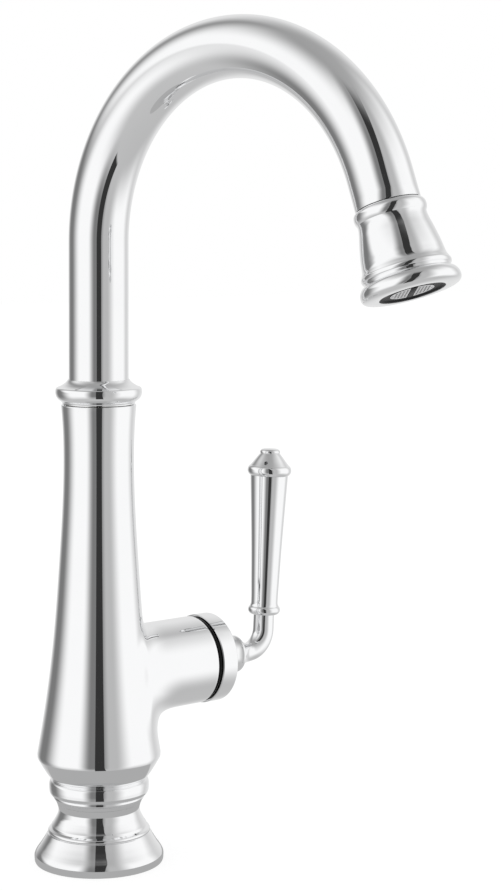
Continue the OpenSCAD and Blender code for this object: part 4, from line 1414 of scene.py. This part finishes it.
@dataclass
class Studio:
    """Camera, floor and the soft studio that the plating mirrors.

    A pair of numbers holds the two ends of a soft step in degrees. The back and the left panel's edge are
    steps of azimuth, and the others, such as the ceiling and the strip's foot, are steps of height.
    """

    spot: tuple[float, float, float] = (-0.5310, -0.7488, 0.2808)
    yaw: float = 39.379
    pitch: float = 0.75
    lens: float = 87.56
    lens_shift: float = -0.247
    panels: tuple[Panel, ...] = (
        Panel(38, 13, 16, 60, 0.5),
        Panel(145, 16, 40, 30, 0.66),
        Panel(90, 20, 34, 26, 1.0),
        Panel(-55, 17, 46, 26, 1.0),
    )
    dim: float = 0.2
    back: tuple[float, float] = (130, 166)
    back_level: float = 0.8
    left_edge: tuple[float, float] = (-62, -84)
    left_above: tuple[float, float] = (3, 16)
    left_reach: float = 26.0
    ceiling: tuple[float, float] = (24, 78)
    ceiling_level: float = 0.37
    ceiling_tilt: float = 0.08
    ground: tuple[float, float] = (14, 50)
    ground_level: float = 0.53
    ground_tilt: float = -0.03
    strip_at: float = 0.09
    strip_half: float = 0.15
    strip_fade: float = 0.006
    strip_front: float = 0.02
    strip_foot: tuple[float, float] = (-47, -44)
    strip_head: tuple[float, float] = (72, 46)
    strip_level: float = 0.035
    floor_size: float = 8.0
    floor_glow: float = 1.06
    floor_share: float = 0.75
    card_r: float = 0.07
    card_level: float = 0.42

    def camera(self) -> None:
        """Sets the camera at the photograph's angle."""
        data = bpy.data.cameras.new("camera")
        data.lens = self.lens
        data.sensor_width = 36
        data.sensor_fit = "AUTO"
        data.shift_y = self.lens_shift
        data.clip_start = 0.01
        camera = bpy.data.objects.new("camera", data)
        camera.location = self.spot
        camera.rotation_euler = (math.radians(90 - self.pitch), 0, math.radians(-self.yaw))
        bpy.context.scene.collection.objects.link(camera)
        bpy.context.scene.camera = camera

    def ring_light(self, around: Signal, height: Signal) -> Signal:
        """Brightness round the faucet. Above eye level the left panel reaches further back.

        Args:
            around: Degrees round from the camera's side.
            height: Degrees above eye level.

        Returns:
            The brightness.
        """
        back = around.size().step(*self.back)
        around = around + around.step(*self.left_edge) * height.step(*self.left_above) * self.left_reach
        level: Signal | float = self.dim
        for panel in self.panels:
            low, high = panel.azimuth - panel.reach, panel.azimuth + panel.reach
            lit = around.step(low - panel.fade_left, low) * around.step(high + panel.fade_right, high)
            level = level + (panel.level - level) * lit
        return level + (self.back_level - level) * back

    def world(self) -> None:
        """Builds the studio: panels and a dark strip for the plating, plain white for all else."""
        world = bpy.data.worlds.new("studio")
        bpy.context.scene.world = world
        graph = Graph(world)
        right, away, up = graph.axes(graph.place("Generated", turned(self.yaw, "Z")))
        around = right.angle_to(away * -1.0) * (180 / math.pi)
        height = up.rise() * (180 / math.pi)
        level = self.ring_light(around, height)
        ceiling = height.step(*self.ceiling)
        level = level + (right * self.ceiling_tilt + self.ceiling_level - level) * ceiling
        ground = (height * -1.0).step(*self.ground)
        level = level + (right * self.ground_tilt + self.ground_level - level) * ground
        outer, inner = self.strip_half + self.strip_fade, self.strip_half - self.strip_fade
        strip = (right - self.strip_at).size().step(outer, inner)
        strip = strip * away.step(self.strip_front, -self.strip_front)
        strip = strip * height.step(*self.strip_foot) * height.step(*self.strip_head)
        level = level + (self.strip_level - level) * strip
        mirrored = graph.get("ShaderNodeLightPath", output="Is Glossy Ray")
        level = 1.0 + (level - 1.0) * mirrored
        light = graph.get("ShaderNodeBackground", None, {"Color": level, "Strength": 1.0})
        graph.add("ShaderNodeOutputWorld", None, {"Surface": light})

    def prop(self, name: str, unseen: Sequence[str]) -> Graph:
        """Makes the object just added a prop of the stage, with a material of its own.

        Args:
            name: Name of the prop and its material.
            unseen: The kinds of rays that pass it by.

        Returns:
            The material's empty graph.
        """
        piece = bpy.context.object
        piece.name = name
        for rays in unseen:
            setattr(piece, f"visible_{rays}", False)
        material = bpy.data.materials.new(name)
        graph = Graph(material)
        piece.data.materials.append(material)
        piece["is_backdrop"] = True
        return graph

    def floor(self) -> None:
        """Lays a plain white floor on the deck's plane that keeps a faint shadow."""
        bpy.ops.mesh.primitive_plane_add(size=self.floor_size)
        graph = self.prop("floor", ["glossy"])
        paint = graph.get("ShaderNodeBsdfDiffuse", None, {"Color": (1, 1, 1, 1)})
        glow = graph.get("ShaderNodeEmission", None, {"Color": (1, 1, 1, 1), "Strength": self.floor_glow})
        mixed = graph.get("ShaderNodeMixShader", None, {0: self.floor_share, 1: paint, 2: glow})
        graph.add("ShaderNodeOutputMaterial", None, {"Surface": mixed})

    def card(self) -> None:
        """Lays the small grey card that the foot's plating mirrors and that nothing else sees."""
        bpy.ops.mesh.primitive_circle_add(vertices=96, radius=self.card_r, fill_type="NGON")
        graph = self.prop("bounce_card", ["camera", "diffuse", "transmission", "shadow"])
        colour = (self.card_level, self.card_level, self.card_level, 1)
        glow = graph.get("ShaderNodeEmission", None, {"Color": colour, "Strength": 1.0})
        graph.add("ShaderNodeOutputMaterial", None, {"Surface": glow})

    def build(self) -> None:
        """Sets up the view, the studio and the floor."""
        bpy.context.scene.view_settings.view_transform = "Standard"
        self.camera()
        self.world()
        self.floor()
        self.card()


def main() -> None:
    """Builds the studio and the faucet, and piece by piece."""
    logging.basicConfig(level=logging.INFO, format="%(message)s")
    cad_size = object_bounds()
    Studio().build()
    stock = Stock()
    for group in (Foot(), Column(), Gooseneck(), SprayHead(), Handle()):
        group.build(stock)
    for (finish, way), names in CARRIED.items():
        for name in names.split():
            stock.dress(frame["nodes"][name], finish.value, way)
    {"cad": plain(cad_size), "visual": plain(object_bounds())}


if __name__ == "__main__":
    main()
